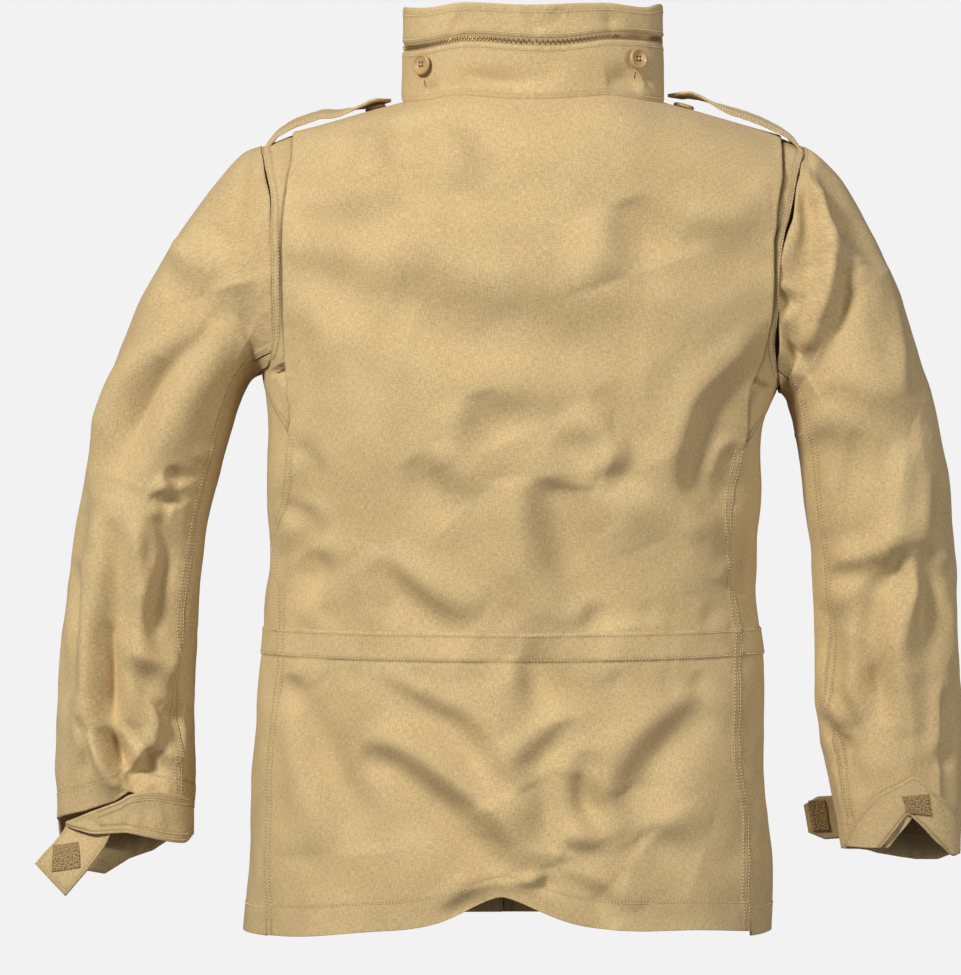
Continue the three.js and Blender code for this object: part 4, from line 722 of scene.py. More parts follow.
def cut_size(piece, outer, hidden=0.0):
    """Works out the flat cut of a cloth piece from its outer face and the width sewn out of sight, but keeps
    and states none of it
    """
    a = outer[1:, 1:] - outer[:-1, :-1]
    b = outer[1:, :-1] - outer[:-1, 1:]
    area = np.linalg.norm(np.cross(a, b), axis=-1).sum() / 2
    wide = np.linalg.norm(np.diff(outer, axis=1), axis=-1).sum(1).max() + hidden
    tall = np.linalg.norm(np.diff(outer, axis=0), axis=-1).sum(0).max()
    area = np.clip(area, 0.32 * wide * tall, wide * tall)
    return piece


class Stitching:
    """Collects rows of stitches into one mesh"""

    def __init__(self):
        self.points = []
        self.faces = []

    def row(self, line, normals, pitch=None, long=None, radius=None, sunk=-0.05):
        pitch = pitch or STITCH["pitch"]
        long = long or STITCH["long"]
        radius = radius or STITCH["radius"]
        line = np.asarray(line, float)
        normals = np.asarray(normals, float)
        steps = np.linalg.norm(np.diff(line, axis=0), axis=1)
        run = np.concatenate([[0], np.cumsum(steps)])
        total = run[-1]
        count = max(1, int(total / pitch))
        middles = (np.arange(count) + 0.5) * total / count
        sides = 5
        for middle in middles:
            ends = []
            for at in (middle - long / 2, middle - long / 4, middle + long / 4, middle + long / 2):
                at = min(max(at, 0), total)
                point = np.array([np.interp(at, run, line[:, a]) for a in range(3)])
                normal = np.array([np.interp(at, run, normals[:, a]) for a in range(3)])
                ends.append((point, normal / np.linalg.norm(normal)))
            along = ends[3][0] - ends[0][0]
            size = np.linalg.norm(along)
            if size < 1e-6:
                continue
            along /= size
            start = len(self.points)
            for (point, normal), thick, lift in zip(ends, (0.35, 1, 1, 0.35), (-0.25, 0.1, 0.1, -0.25)):
                across = np.cross(along, normal)
                for s in range(sides):
                    turn = 2 * math.pi * s / sides
                    offset = radius * thick * (math.cos(turn) * across + math.sin(turn) * normal)
                    self.points.append(point + offset + normal * (lift - sunk))
            for ring in range(3):
                for s in range(sides):
                    t = (s + 1) % sides
                    a = start + ring * sides
                    self.faces.append((a + s, a + t, a + sides + t, a + sides + s))
            self.faces.append(tuple(start + s for s in reversed(range(sides))))
            self.faces.append(tuple(start + 3 * sides + s for s in range(sides)))

    def make(self, name, material, slot="cloth"):
        piece = mesh_piece(name, self.points, self.faces)
        set_vector(piece, "weave", np.array(self.points)[:, [0, 2, 1]])
        set_row_away(piece, [NO_ROW] * len(self.points))
        return dress(piece, material, slot)


stitches = Stitching()
slits = Stitching()


def sew(skin, a, b, **kind):
    """A row of stitches along a line on a skin of two coordinates"""
    a, b = np.broadcast_arrays(np.asarray(a, float), np.asarray(b, float))
    points = skin(a, b)
    stitches.row(points, skin(a, b, out=1.0) - points, **kind)


# Materials
def add(tree, kind, links=None, **settings):
    made = tree.nodes.new(kind)
    for key, value in settings.items():
        setattr(made, key, value)
    for socket, value in (links or {}).items():
        if isinstance(value, bpy.types.NodeSocket):
            tree.links.new(value, made.inputs[socket])
        else:
            made.inputs[socket].default_value = value
    return made


def maths(tree, operation, a, b=0.0, clamp=False):
    return add(tree, "ShaderNodeMath", {0: a, 1: b}, operation=operation, use_clamp=clamp).outputs[0]


def new_group(name, inputs, outputs):
    tree = bpy.data.node_groups.new(name, "ShaderNodeTree")
    for label, kind, value in inputs:
        socket = tree.interface.new_socket(label, in_out="INPUT", socket_type=kind)
        if value is not None:
            socket.default_value = value
    for label, kind in outputs:
        tree.interface.new_socket(label, in_out="OUTPUT", socket_type=kind)
    return tree, tree.nodes.new("NodeGroupInput"), tree.nodes.new("NodeGroupOutput")


NUMBER = "NodeSocketFloat"
COLOUR = "NodeSocketColor"
VECTOR = "NodeSocketVector"


def woven_group():
    """Threads of plain cotton: slubs along warp and weft, fleck and broad unevenness of dye"""
    tree, given, result = new_group("woven cotton", [
        ("Threads", VECTOR, None), ("Light", COLOUR, (1, 1, 1, 1)), ("Dark", COLOUR, (0, 0, 0, 1)),
        ("Fleck", NUMBER, 2.0), ("Unevenness", NUMBER, 0.3),
    ], [("Color", COLOUR), ("Height", NUMBER)])
    threads = given.outputs["Threads"]
    parts = []
    for stretch in ((0.22, 0.95, 1), (0.85, 0.2, 1)):
        place = add(tree, "ShaderNodeVectorMath", {0: threads, 1: stretch}, operation="MULTIPLY")
        noise = add(tree, "ShaderNodeTexNoise", {
            "Vector": place.outputs[0], "Scale": 1.0, "Detail": 2.0, "Roughness": 0.7,
        }, noise_dimensions="2D")
        parts.append(noise.outputs["Fac"])
    slub = maths(tree, "ADD", maths(tree, "MULTIPLY", parts[0], 0.5), maths(tree, "MULTIPLY", parts[1], 0.5))
    fleck = add(tree, "ShaderNodeTexNoise", {
        "Vector": threads, "Scale": 0.75, "Detail": 3.0, "Roughness": 0.85,
    }, noise_dimensions="2D").outputs["Fac"]
    broad = add(tree, "ShaderNodeTexNoise", {"Vector": threads, "Scale": 0.018, "Detail": 3.0},
                noise_dimensions="2D").outputs["Fac"]
    both = maths(tree, "ADD", maths(tree, "MULTIPLY", slub, 0.65), maths(tree, "MULTIPLY", fleck, 0.35))
    grain = maths(tree, "MULTIPLY", maths(tree, "SUBTRACT", both, 0.5), given.outputs["Fleck"])
    cloud = maths(tree, "MULTIPLY", maths(tree, "SUBTRACT", broad, 0.5), given.outputs["Unevenness"])
    tone = maths(tree, "ADD", maths(tree, "ADD", grain, cloud), 0.5, clamp=True)
    colour = add(tree, "ShaderNodeMix", {
        "Factor": tone, "A": given.outputs["Dark"], "B": given.outputs["Light"],
    }, data_type="RGBA")
    tree.links.new(colour.outputs["Result"], result.inputs["Color"])
    warp = add(tree, "ShaderNodeVectorMath", {0: threads, 1: (5.2, 5.2, 1)}, operation="MULTIPLY")
    split = add(tree, "ShaderNodeSeparateXYZ", {0: warp.outputs[0]})
    over = maths(tree, "SINE", split.outputs[0])
    under = maths(tree, "SINE", split.outputs[1])
    weave = maths(tree, "MULTIPLY", over, under)
    height = maths(tree, "ADD", maths(tree, "MULTIPLY", weave, 0.25), both)
    tree.links.new(height, result.inputs["Height"])
    return tree


def sewn_group():
    """The groove that a row of stitches presses into cloth, from the distance to the row; the cloth material
    also uses its mask for painted shade in the groove
    """
    tree, given, result = new_group("sewn groove", [
        ("Away", NUMBER, NO_ROW), ("Half width", NUMBER, 0.8),
    ], [("Mask", NUMBER)])
    share = maths(tree, "DIVIDE", given.outputs["Away"], given.outputs["Half width"])
    square = maths(tree, "MULTIPLY", share, share)
    mask = maths(tree, "POWER", 2.718, maths(tree, "MULTIPLY", square, -1.0))
    tree.links.new(mask, result.inputs["Mask"])
    return tree


def use(tree, group, links):
    made = add(tree, "ShaderNodeGroup")
    made.node_tree = group
    for socket, value in links.items():
        if isinstance(value, bpy.types.NodeSocket):
            tree.links.new(value, made.inputs[socket])
        else:
            made.inputs[socket].default_value = value
    return made


def new_material(name, viewport):
    made = bpy.data.materials.new(name)
    made.use_nodes = True
    made.diffuse_color = (*viewport, 1)
    return made, made.node_tree, made.node_tree.nodes["Principled BSDF"]


WOVEN = woven_group()
SEWN = sewn_group()


def cotton(name, light, dark, fleck=0.55, unevenness=0.25, bump=0.25, roughness=0.82, threads_from="weave"):
    made, tree, shader = new_material(name, light)
    threads = add(tree, "ShaderNodeAttribute", attribute_name=threads_from).outputs["Vector"]
    woven = use(tree, WOVEN, {"Threads": threads, "Light": (*light, 1), "Dark": (*dark, 1),
                              "Fleck": fleck, "Unevenness": unevenness})
    away = add(tree, "ShaderNodeAttribute", attribute_name="row_away").outputs["Fac"]
    groove = use(tree, SEWN, {"Away": away, "Half width": 0.95})
    hollow = use(tree, SEWN, {"Away": away, "Half width": 2.6})
    # Painted shade: near every row (and the pleat's fold) the colour darkens towards deep brown, narrowly in
    # the groove and faintly over a wider hollow; the same masks also sink the bump
    shade = maths(tree, "MULTIPLY", groove.outputs["Mask"], 0.42)
    shade = maths(tree, "ADD", shade, maths(tree, "MULTIPLY", hollow.outputs["Mask"], 0.1))
    colour = add(tree, "ShaderNodeMix", {"Factor": shade, "A": woven.outputs["Color"],
                                         "B": (dark[0] * 0.35, dark[1] * 0.3, dark[2] * 0.25, 1)},
                 data_type="RGBA")
    tree.links.new(colour.outputs["Result"], shader.inputs["Base Color"])
    height = maths(tree, "SUBTRACT", maths(tree, "MULTIPLY", woven.outputs["Height"], 0.35),
                   maths(tree, "MULTIPLY", groove.outputs["Mask"], 0.9))
    height = maths(tree, "SUBTRACT", height, maths(tree, "MULTIPLY", hollow.outputs["Mask"], 0.5))
    bumped = add(tree, "ShaderNodeBump", {"Height": height, "Strength": bump, "Distance": 0.0006})
    tree.links.new(bumped.outputs["Normal"], shader.inputs["Normal"])
    shader.inputs["Roughness"].default_value = roughness
    shader.inputs["Sheen Weight"].default_value = 0.12
    shader.inputs["Sheen Roughness"].default_value = 0.5
    shader.inputs["Specular IOR Level"].default_value = 0.3
    return made


KHAKI = cotton("khaki cotton", (0.70, 0.52, 0.265), (0.44, 0.31, 0.14), fleck=3.6, unevenness=0.6)
KHAKI_THREAD = cotton("sewing thread", (0.85, 0.7, 0.43), (0.7, 0.55, 0.32), fleck=0.6)


def pile_material():
    """Hook and loop pile: a mat of fine brown loops"""
    made, tree, shader = new_material("loop pile", (0.4, 0.27, 0.12))
    threads = add(tree, "ShaderNodeAttribute", attribute_name="weave").outputs["Vector"]
    loops = add(tree, "ShaderNodeTexVoronoi", {"Vector": threads, "Scale": 0.62, "Randomness": 1.0},
                voronoi_dimensions="2D")
    noise = add(tree, "ShaderNodeTexNoise", {"Vector": threads, "Scale": 0.9, "Detail": 3.0},
                noise_dimensions="2D")
    tone = maths(tree, "MULTIPLY", loops.outputs["Distance"], noise.outputs["Fac"])
    tone = maths(tree, "MULTIPLY", tone, 2.6, clamp=True)
    colour = add(tree, "ShaderNodeMix", {
        "Factor": tone, "A": (0.6, 0.42, 0.2, 1), "B": (0.2, 0.115, 0.04, 1),
    }, data_type="RGBA")
    tree.links.new(colour.outputs["Result"], shader.inputs["Base Color"])
    bumped = add(tree, "ShaderNodeBump", {"Height": tone, "Strength": 0.8, "Distance": 0.0012})
    bumped.invert = True
    tree.links.new(bumped.outputs["Normal"], shader.inputs["Normal"])
    shader.inputs["Roughness"].default_value = 0.9
    return made


def plain_material(name, light, dark, roughness, metallic=0.0, scale=300.0, bump=0.1, coat=0.0):
    made, tree, shader = new_material(name, light)
    place = add(tree, "ShaderNodeTexCoord").outputs["Object"]
    noise = add(tree, "ShaderNodeTexNoise", {"Vector": place, "Scale": scale, "Detail": 4.0})
    colour = add(tree, "ShaderNodeMix", {"Factor": noise.outputs["Fac"], "A": (*light, 1), "B": (*dark, 1)},
                 data_type="RGBA")
    tree.links.new(colour.outputs["Result"], shader.inputs["Base Color"])
    rough = maths(tree, "ADD", maths(tree, "MULTIPLY", noise.outputs["Fac"], 0.2), roughness - 0.1)
    tree.links.new(rough, shader.inputs["Roughness"])
    bumped = add(tree, "ShaderNodeBump", {
        "Height": noise.outputs["Fac"], "Strength": bump, "Distance": 0.0002,
    })
    tree.links.new(bumped.outputs["Normal"], shader.inputs["Normal"])
    shader.inputs["Metallic"].default_value = metallic
    shader.inputs["Coat Weight"].default_value = coat
    return made


PILE = pile_material()
HORN = plain_material("button resin", (0.56, 0.37, 0.15), (0.47, 0.29, 0.105), 0.34, scale=160, coat=0.3)
METAL = plain_material("darkened brass", (0.42, 0.27, 0.12), (0.24, 0.15, 0.07), 0.4,
                       metallic=0.7, scale=500)
TAPE = cotton("zip tape", (0.5, 0.37, 0.19), (0.34, 0.24, 0.11), fleck=0.4)
DARK = plain_material("button hole shade", (0.03, 0.02, 0.01), (0.02, 0.012, 0.006), 0.8)


# Back, pleats and fronts
# Columns along a panel's edge, as distances from it
BAND = [0, 0.6, 1.4, 2.6, 4.4, 6.4, 8.0, 9.0, 9.9, 11.2, 13.5]
SHORT_BAND = [0, 0.7, 2.0, 4.0]
PLAIN = [0]


def edge_distance(angle, level, edge):
    step = 0.01
    span = np.linalg.norm(torso_base(edge + step, level) - torso_base(edge - step, level), axis=-1)
    return abs(angle - edge) * span / (2 * step)


def hem_raise(up):
    """How far the turned hem stands out, at a height above the hem's edge"""
    return 0.5 * (1 - smooth(HEM["wide"], HEM["edge_ends"], up))


def level_rows(hem):
    """Levels of the sewn rows of the casing and the hem"""
    return CASING["top"] - CASING["row_inset"], CASING["bottom"] + CASING["row_inset"], hem + HEM["row"]


def level_rows_away(level, hem):
    return np.minimum.reduce([abs(level - row) for row in level_rows(hem)])


def casing_pucker(along, level, seed):
    return (pucker(along, level - CASING["top"], seed, size=6)
            + pucker(along, level - CASING["bottom"], seed + 1, size=6))


def back_edge(side, level):
    way = -SIDES[side]["sign"]
    return shift_angle(side_angle(side, level, "pleat"), level, way * SEAM_GAP / 2)


def back_features(angle, level):
    """Distances to the back's sewn rows, and how far its folded edges stand out"""
    x = torso_base(angle, level)[..., 0]
    flat = cloth_level(x, level, "back")
    raised = casing_raise(flat) + hem_raise(flat - BACK_HEM)
    away = level_rows_away(flat, BACK_HEM)
    drawn = casing_pucker(x, flat, 21)
    drawn = drawn + pucker(x, flat - BACK_HEM - 20, 23, size=9, depth=0.6)
    gathers = 0.5 * ripple(x, flat * 0.35, 8, 24) + 0.5 * ripple(x, flat * 0.2, 19, 27)
    drawn = drawn + casing_raise(flat) * gathers
    for side in ("left", "right"):
        edge = back_edge(side, level)
        inside = edge_distance(angle, level, edge)
        below = 1 - smooth(SIDES[side]["seam_top"] - 4, SIDES[side]["seam_top"] + 4, level)
        felled = 1 - smooth(FELL["wide"] - 0.6, FELL["wide"] + 0.6, inside)
        raised = raised + FELL["raise"] * below * felled
        rows = np.minimum(abs(inside - FELL_ROWS[0]), abs(inside - FELL_ROWS[1]))
        away = np.minimum(away, np.where(below > 0.5, rows, NO_ROW))
        drawn = drawn + pucker(level, inside - 5, 25, size=6, depth=0.45, reach=9)
        rolled = 2.6 * np.exp(-inside / 16) - 1.3 * (1 - smooth(0, 2.5, inside)) ** 2
        raised = raised + (1 - below) * rolled
    return away, raised + drawn


def back_skin(angle, level, out=0.0, depth=0.0):
    _, raised = back_features(angle, level)
    held = raised if depth == 0 else 0.0
    return torso_skin(angle, level, out + held - depth)


def make_back():
    columns = np.linspace(0, 1, 150)
    angle, level = torso_panel_grid(
        lambda at: back_edge("left", at), lambda at: back_edge("right", at), "back", SEAM_GAP / 2, 3.2,
        BAND, columns, BAND, row_plan(3.2),
    )
    outer = back_skin(angle, level)
    inner = back_skin(angle, level, depth=WALL)
    away, _ = back_features(angle, level)
    piece = shell("back_cloth", outer, inner, np.stack([angle * TORSO_WEAVE, level], -1), away)
    dress(piece, KHAKI, "cloth", "garment", "back")
    cut_size(piece, outer)
    for side in ("left", "right"):
        way = -SIDES[side]["sign"]
        top = SIDES[side]["seam_top"]
        down = np.arange(top, BACK_HEM + 1, -4.0)
        for inset in FELL_ROWS:
            sew(back_skin, shift_angle(back_edge(side, down), down, way * inset), down)
    spread = np.linspace(0.006, 0.994, 160)
    for flat in level_rows(BACK_HEM):
        row = mix(back_edge("left", float(flat)), back_edge("right", float(flat)), spread)
        x = torso_base(row, flat)[..., 0]
        part = (flat - ARCH["fades_at"]) / (BACK_HEM - ARCH["fades_at"])
        low = mix(ARCH["fades_at"], hem_level(x, "back"), part)
        level = low if flat < ARCH["fades_at"] else flat + casing_sag(x) * near_casing(flat)
        sew(back_skin, row, level)


def pleat_width(side, level):
    fold = torso_base(side_angle(side, level, "pleat"), level)
    return np.linalg.norm(fold - torso_base(side_angle(side, level, "strip"), level), axis=-1)


def pleat_skin(side, angle, level, out=0.0, depth=0.0):
    """The strip behind a pleat's fold, which sinks towards the fold and on under the back"""
    sign = SIDES[side]["sign"]
    visible = pleat_width(side, level)
    seam = shift_angle(side_angle(side, level, "strip"), level, -sign * SEAM_GAP / 2)
    inside = edge_distance(angle, level, seam)
    sunk = PLEAT["slope"] * np.minimum(1, inside / np.maximum(visible, 0.5))
    sunk = sunk + PLEAT["recess"] * smooth(5.5, 2.5, visible - inside) * np.minimum(1, inside / 4)
    drawn = 0.0 if depth else pucker(level, inside - 6, 31, size=5, depth=0.4, reach=7)
    fell = 0.0 if depth else 0.5 * (1 - smooth(7.4, 8.6, inside))
    return torso_skin(angle, level, out - sunk + drawn + fell - depth)


def make_pleat(side):
    sign = SIDES[side]["sign"]

    def hidden(level):
        return shift_angle(side_angle(side, level, "pleat"), level, -sign * PLEAT["overlap"])

    def seam(level):
        return shift_angle(side_angle(side, level, "strip"), level, -sign * SEAM_GAP / 2)

    low = np.arange(PLEAT["bottom"], YOKE_LEVEL, 3.0)
    angle, level = torso_panel_grid(hidden, seam, "back", SEAM_GAP / 2, 3.0, PLAIN,
                                    np.linspace(0, 1, 26), PLAIN, low)
    outer = pleat_skin(side, angle, level)
    inner = pleat_skin(side, angle, level, depth=WALL)
    inside = edge_distance(angle, level, seam(level))
    from_fold = edge_distance(angle, level, side_angle(side, level, "pleat"))
    # The fold's distance, scaled by the pleat's shade value, counts as a row: the cloth material paints a
    # thin line of shade along the pleat's fold
    away = np.minimum.reduce([*(abs(inside - row) for row in PLEAT_ROWS), PLEAT["shade"] * from_fold])
    piece = shell(f"pleat_{side}_cloth", outer, inner, np.stack([angle * TORSO_WEAVE, level], -1), away)
    dress(piece, KHAKI, "cloth", "garment", f"pleat_{side}")
    cut_size(piece, outer)
    down = np.arange(-30, SIDES[side]["armhole_bottom"] + 22, -4.0)
    skin = partial(pleat_skin, side)
    for inset in PLEAT_ROWS:
        sew(skin, shift_angle(seam(down), down, -sign * inset), down)


def front_features(side, angle, level):
    sign = SIDES[side]["sign"]
    raised = casing_raise(level) + hem_raise(level - FRONT_HEM)
    edge = shift_angle(side_angle(side, level, "front"), level, sign * SEAM_GAP / 2)
    inside = edge_distance(angle, level, edge)
    drawn = casing_pucker(angle * TORSO_GIRTH, level, 41)
    drawn = drawn + pucker(level, inside - 3, 43, size=8, depth=0.6, reach=10)
    return level_rows_away(level, FRONT_HEM), raised + drawn


def front_skin(side, angle, level, out=0.0, depth=0.0):
    _, raised = front_features(side, angle, level)
    return torso_skin(angle, level, out + (raised if depth == 0 else 0.0) - depth)


def make_front(side):
    sign = SIDES[side]["sign"]

    def centre(level):
        return shift_angle(np.full(np.shape(level), sign * np.pi), level, -sign * ZIP_OPENING)

    def edge(level):
        return shift_angle(side_angle(side, level, "front"), level, sign * SEAM_GAP / 2)

    angle, level = torso_panel_grid(centre, edge, "front", SEAM_GAP / 2, 4.5, PLAIN,
                                    np.linspace(0, 1, 66), SHORT_BAND, row_plan(4.5))
    outer = front_skin(side, angle, level)
    inner = front_skin(side, angle, level, depth=WALL)
    away, _ = front_features(side, angle, level)
    piece = shell(f"front_{side}_cloth", outer, inner, np.stack([angle * TORSO_WEAVE, level], -1), away)
    dress(piece, KHAKI, "cloth", "garment", f"front_{side}")
    cut_size(piece, outer)
    skin = partial(front_skin, side)
    spread = np.linspace(0.02, 0.985, 90)
    for flat in level_rows(FRONT_HEM):
        sew(skin, mix(centre(float(flat)), edge(float(flat)), spread), flat)


def make_front_middle():
    """The strip of the front zip and the storm flap over it, hidden in the photograph"""
    for name, first, last, out, thick, trim, material, slot in (
        ("front_zip", -3.9, 3.9, -0.1, 1.6, SEAM_GAP / 2, TAPE, "zip_tape"),
        ("storm_flap", -FLAP["to_left"], FLAP["to_right"], LAID_ON + FLAP["thick"], FLAP["thick"],
         FLAP["above"], KHAKI, "cloth"),
    ):
        def side_line(x):
            return lambda level: shift_angle(np.full(np.shape(level), np.pi), level, -x)

        flap = name == "storm_flap"
        columns = np.linspace(0, 1, 24 if flap else 6)
        angle, level = torso_panel_grid(side_line(first), side_line(last), "front", trim, 4.5, PLAIN,
                                        columns, PLAIN, row_plan(4.5))
        drawn = pucker(level, (angle - np.pi) * TORSO_GIRTH - 30, 47, depth=0.4) if flap else 0.0
        raised = casing_raise(level) if flap else 0.0
        outer = torso_skin(angle, level, out + raised + drawn)
        inner = torso_skin(angle, level, out + raised - thick)
        across = abs(np.cumsum(np.full(angle.shape, (last - first) / (angle.shape[1] - 1)), 1))
        away = np.minimum(abs(across - 4), abs(last - first - across - 4)) if flap else None
        piece = shell(f"{name}_cloth", outer, inner, np.stack([angle * TORSO_WEAVE, level], -1), away)
        dress(piece, material, slot, "garment", name)
        cut_size(piece, outer, hidden=0 if flap else 22)


# Sleeves
def armhole_point(side, phi):
    line = SIDES[side]
    level = mix(line["armhole_bottom"], line["armhole_tip"], (1 + np.cos(phi)) / 2)
    x = line["armhole"](level)
    back = torso_angle(x, level, "back")
    front = torso_angle(x, level, "front")
    point = torso_base(np.where(np.sin(phi) >= 0, back, front), level)
    point[..., 0] += line["sign"] * ARMHOLE_GAP
    return point


def sleeve_ring(side, index, phi):
    """Points of the rings with the given numbers: 0 is the armhole, the last one the hem"""
    rings = np.array(SLEEVES[side]["rings"], float)
    end = SLEEVES[side]["end"]
    last = len(rings) + 1
    rows = rings[np.clip(index - 1, 0, len(rings) - 1)]
    ring = {name: rows[..., k] for k, name in enumerate(SLEEVE_COLUMNS)}
    along = (1 + np.cos(phi)) / 2
    middle = np.stack([mix(ring["in_x"], ring["out_x"], along), ring["y"] - ring["depth"] * np.sin(phi),
                       mix(ring["in_z"], ring["out_z"], along)], -1)
    hem = np.array(SLEEVES[side]["hem"], float)
    x = mix(end["in_x"], end["out_x"], along)
    z = np.interp(np.degrees(phi) % 360, hem[:, 0], hem[:, 1])
    hem_points = np.stack([x, end["y"] - end["depth"] * np.sin(phi), z], -1)
    made = np.where((index <= 0)[..., None], armhole_point(side, phi), middle)
    return np.where((index >= last)[..., None], hem_points, made)


def sleeve_base(side, phi, station):
    phi, station = np.broadcast_arrays(np.asarray(phi, float), np.asarray(station, float))
    last = len(SLEEVES[side]["rings"]) + 1
    at = np.clip(station, 0, last)
    i = np.minimum(np.floor(at).astype(int), last - 1)
    t = (at - i)[..., None]
    p1 = sleeve_ring(side, i, phi)
    p2 = sleeve_ring(side, i + 1, phi)
    into = np.where((i > 0)[..., None], (p2 - sleeve_ring(side, np.maximum(i - 1, 0), phi)) / 2, p2 - p1)
    ahead = (sleeve_ring(side, np.minimum(i + 2, last), phi) - p1) / 2
    away = np.where((i + 2 <= last)[..., None], ahead, p2 - p1)
    return (p1 * (2 * t ** 3 - 3 * t ** 2 + 1) + into * (t ** 3 - 2 * t ** 2 + t)
            + p2 * (-2 * t ** 3 + 3 * t ** 2) + away * (t ** 3 - t ** 2))


def sleeve_skin(side, phi, station, out=0.0, depth=0.0, raised=0.0):
    sleeve = SLEEVES[side]
    phi, station = np.broadcast_arrays(np.asarray(phi, float), np.asarray(station, float))
    last = len(sleeve["rings"]) + 1
    at = np.clip(station, 0.05, last - 0.05)
    normal = normal_of(lambda a, b: sleeve_base(side, a, b), phi, at, 0.02, 0.05) * sleeve["sign"]
    point = sleeve_base(side, phi, station)
    x, z = point[..., 0], point[..., 2]
    back_folds = fold_relief(sleeve["back_folds"], x, z)
    front_folds = fold_relief(SLEEVE_FRONT_FOLDS[side], x, z)
    folds = np.where(np.sin(phi) >= 0, back_folds, front_folds)
    relief = (1 - abs(np.cos(phi)) ** 16) * folds
    seed = 51 if side == "left" else 61
    around = phi * SLEEVE_GIRTH
    relief = relief + 0.7 * slackness(around, z, seed)
    relief = relief + (0.6 + 0.9 * smooth(-380, -520, z)) * crumple(around, z, seed + 4)
    head = np.exp(-(station / 0.7) ** 2)
    relief = relief + pucker(phi * 70, station * 20, 55, size=8, depth=0.7, reach=16) * head
    return point + normal * np.asarray(out - depth + relief + raised)[..., None]


def sleeve_seam_features(side, phi, station, panel):
    """Distance to the sewn rows of a sleeve panel and the height of its felled edges"""
    sleeve = SLEEVES[side]
    last = len(sleeve["rings"]) + 1
    base = sleeve_base(side, phi, station)
    edge_phi = math.radians(sleeve["seam"])
    edge = sleeve_base(side, np.full(phi.shape, edge_phi), station)
    inside = np.linalg.norm(base - edge, axis=-1)
    inside = np.where(np.sin(phi) > 0, inside, NO_ROW)
    hem = np.linalg.norm(base - sleeve_base(side, phi, np.full(phi.shape, float(last))), axis=-1)
    away = abs(hem - SLEEVE_HEM)
    raised = 0.5 * (1 - smooth(SLEEVE_HEM - 1, SLEEVE_HEM + 0.6, hem))
    if panel == "upper":
        away = np.minimum.reduce([away, *(abs(inside - row) for row in SLEEVE_ROWS)])
        raised = raised + 0.6 * (1 - smooth(8, 9.2, inside))
        raised = raised + pucker(base[..., 2], inside - 5, 57, size=6, depth=0.45, reach=8)
    raised = raised + pucker(phi * 50, hem - 14, 58, size=7, depth=0.5, reach=14)
    return away, raised


def make_sleeve(side):
    sleeve = SLEEVES[side]
    last = len(sleeve["rings"]) + 1
    gap = 0.3
    stations = np.concatenate([np.linspace(0, last - 0.4, 190)[:-1], np.linspace(last - 0.4, last, 16)])
    upper_phi = np.radians(np.concatenate([np.linspace(-148, 0, 62)[:-1], np.linspace(0, 130, 86)[:-1],
                                           np.linspace(130, sleeve["seam"] - gap, 22)]))
    under_phi = np.radians(np.linspace(sleeve["seam"] + gap, 212 - 2 * gap, 32))
    for panel, phis in (("upper", upper_phi), ("under", under_phi)):
        station, phi = np.meshgrid(stations, phis, indexing="ij")
        away, raised = sleeve_seam_features(side, phi, station, panel)
        outer = sleeve_skin(side, phi, station, raised=raised)
        inner = sleeve_skin(side, phi, station, depth=WALL)
        length = sleeve_base(side, phi, station)[..., 2]
        node = f"sleeve_{side}" if panel == "upper" else f"sleeve_{side}_under"
        piece = shell(f"{node}_cloth", outer, inner, np.stack([phi * SLEEVE_WEAVE, length], -1), away)
        dress(piece, KHAKI, "cloth", "garment", node)
        cut_size(piece, outer)

    def skin(a, b, out=0.0):
        _, raised = sleeve_seam_features(side, a, b, "upper")
        return sleeve_skin(side, a, b, out, raised=raised)

    run = np.linspace(0.1, last - 0.05, 170)
    base_gap = np.linalg.norm(sleeve_base(side, math.radians(sleeve["seam"] - 5), run)
                              - sleeve_base(side, math.radians(sleeve["seam"]), run), axis=-1) / 5
    for inset in SLEEVE_ROWS:
        sew(skin, np.radians(sleeve["seam"] - inset / base_gap), run)

    def hem_row(phi, up):
        full = np.full(phi.shape, float(last))
        reach = np.linalg.norm(sleeve_base(side, phi, full) - sleeve_base(side, phi, full - 0.6), axis=-1)
        return last - 0.6 * up / reach

    around = np.radians(np.linspace(-10, sleeve["seam"] - 8, 60))
    sew(skin, around, hem_row(around, SLEEVE_HEM))
    inside = np.radians(np.linspace(190, 352, 70))
    for up in (3, SLEEVE_HEM):
        station = hem_row(inside, up)
        points = sleeve_skin(side, inside, station, depth=WALL)
        stitches.row(points, points - sleeve_skin(side, inside, station, depth=WALL - 1.0))


# Collar
def neck_point(kappa):
    across = np.sign(np.sin(kappa)) * abs(np.sin(kappa)) ** (2 / SQUARENESS)
    x = NECK_HALF * across
    back = np.cos(kappa) >= 0
    level_back = top_level(x, "back")
    level_front = top_level(x, "front")
    at_back = torso_base(torso_angle(x, level_back, "back"), level_back)
    at_front = torso_base(torso_angle(x, level_front, "front"), level_front)
    return np.where(back[..., None], at_back, at_front)


# How the collar's zip and top edge rise and fall around the neck
COLLAR_AROUND = [-3.2, -1.5, -1.15, -0.75, -0.25, 0.15, 0.6, 1.0, 1.35, 1.6, 3.2]
ZIP_WAVE = Curve(COLLAR_AROUND, [0, -3, -4, -3.8, -1, -2.4, 0.2, 4, 4.2, 1.5, 0])
TOP_WAVE = Curve(COLLAR_AROUND, [0, 4.5, 2.5, -0.5, 1.5, 2, -0.3, 2, 7, 7, 0])


def collar_top(kappa):
    low = neck_point(kappa)
    across = np.sign(np.sin(kappa)) * abs(np.sin(kappa)) ** (2 / SQUARENESS)
    along = abs(np.cos(kappa)) ** (2 / SQUARENESS)
    back = np.cos(kappa) >= 0
    y = np.where(back, -COLLAR["top_back"] * along, COLLAR["top_front"] * along)
    height = np.where(back, COLLAR["height"], mix(COLLAR["height"], COLLAR["front_height"], along))
    return np.stack([COLLAR["top_half"] * across, y, low[..., 2] + height], -1)


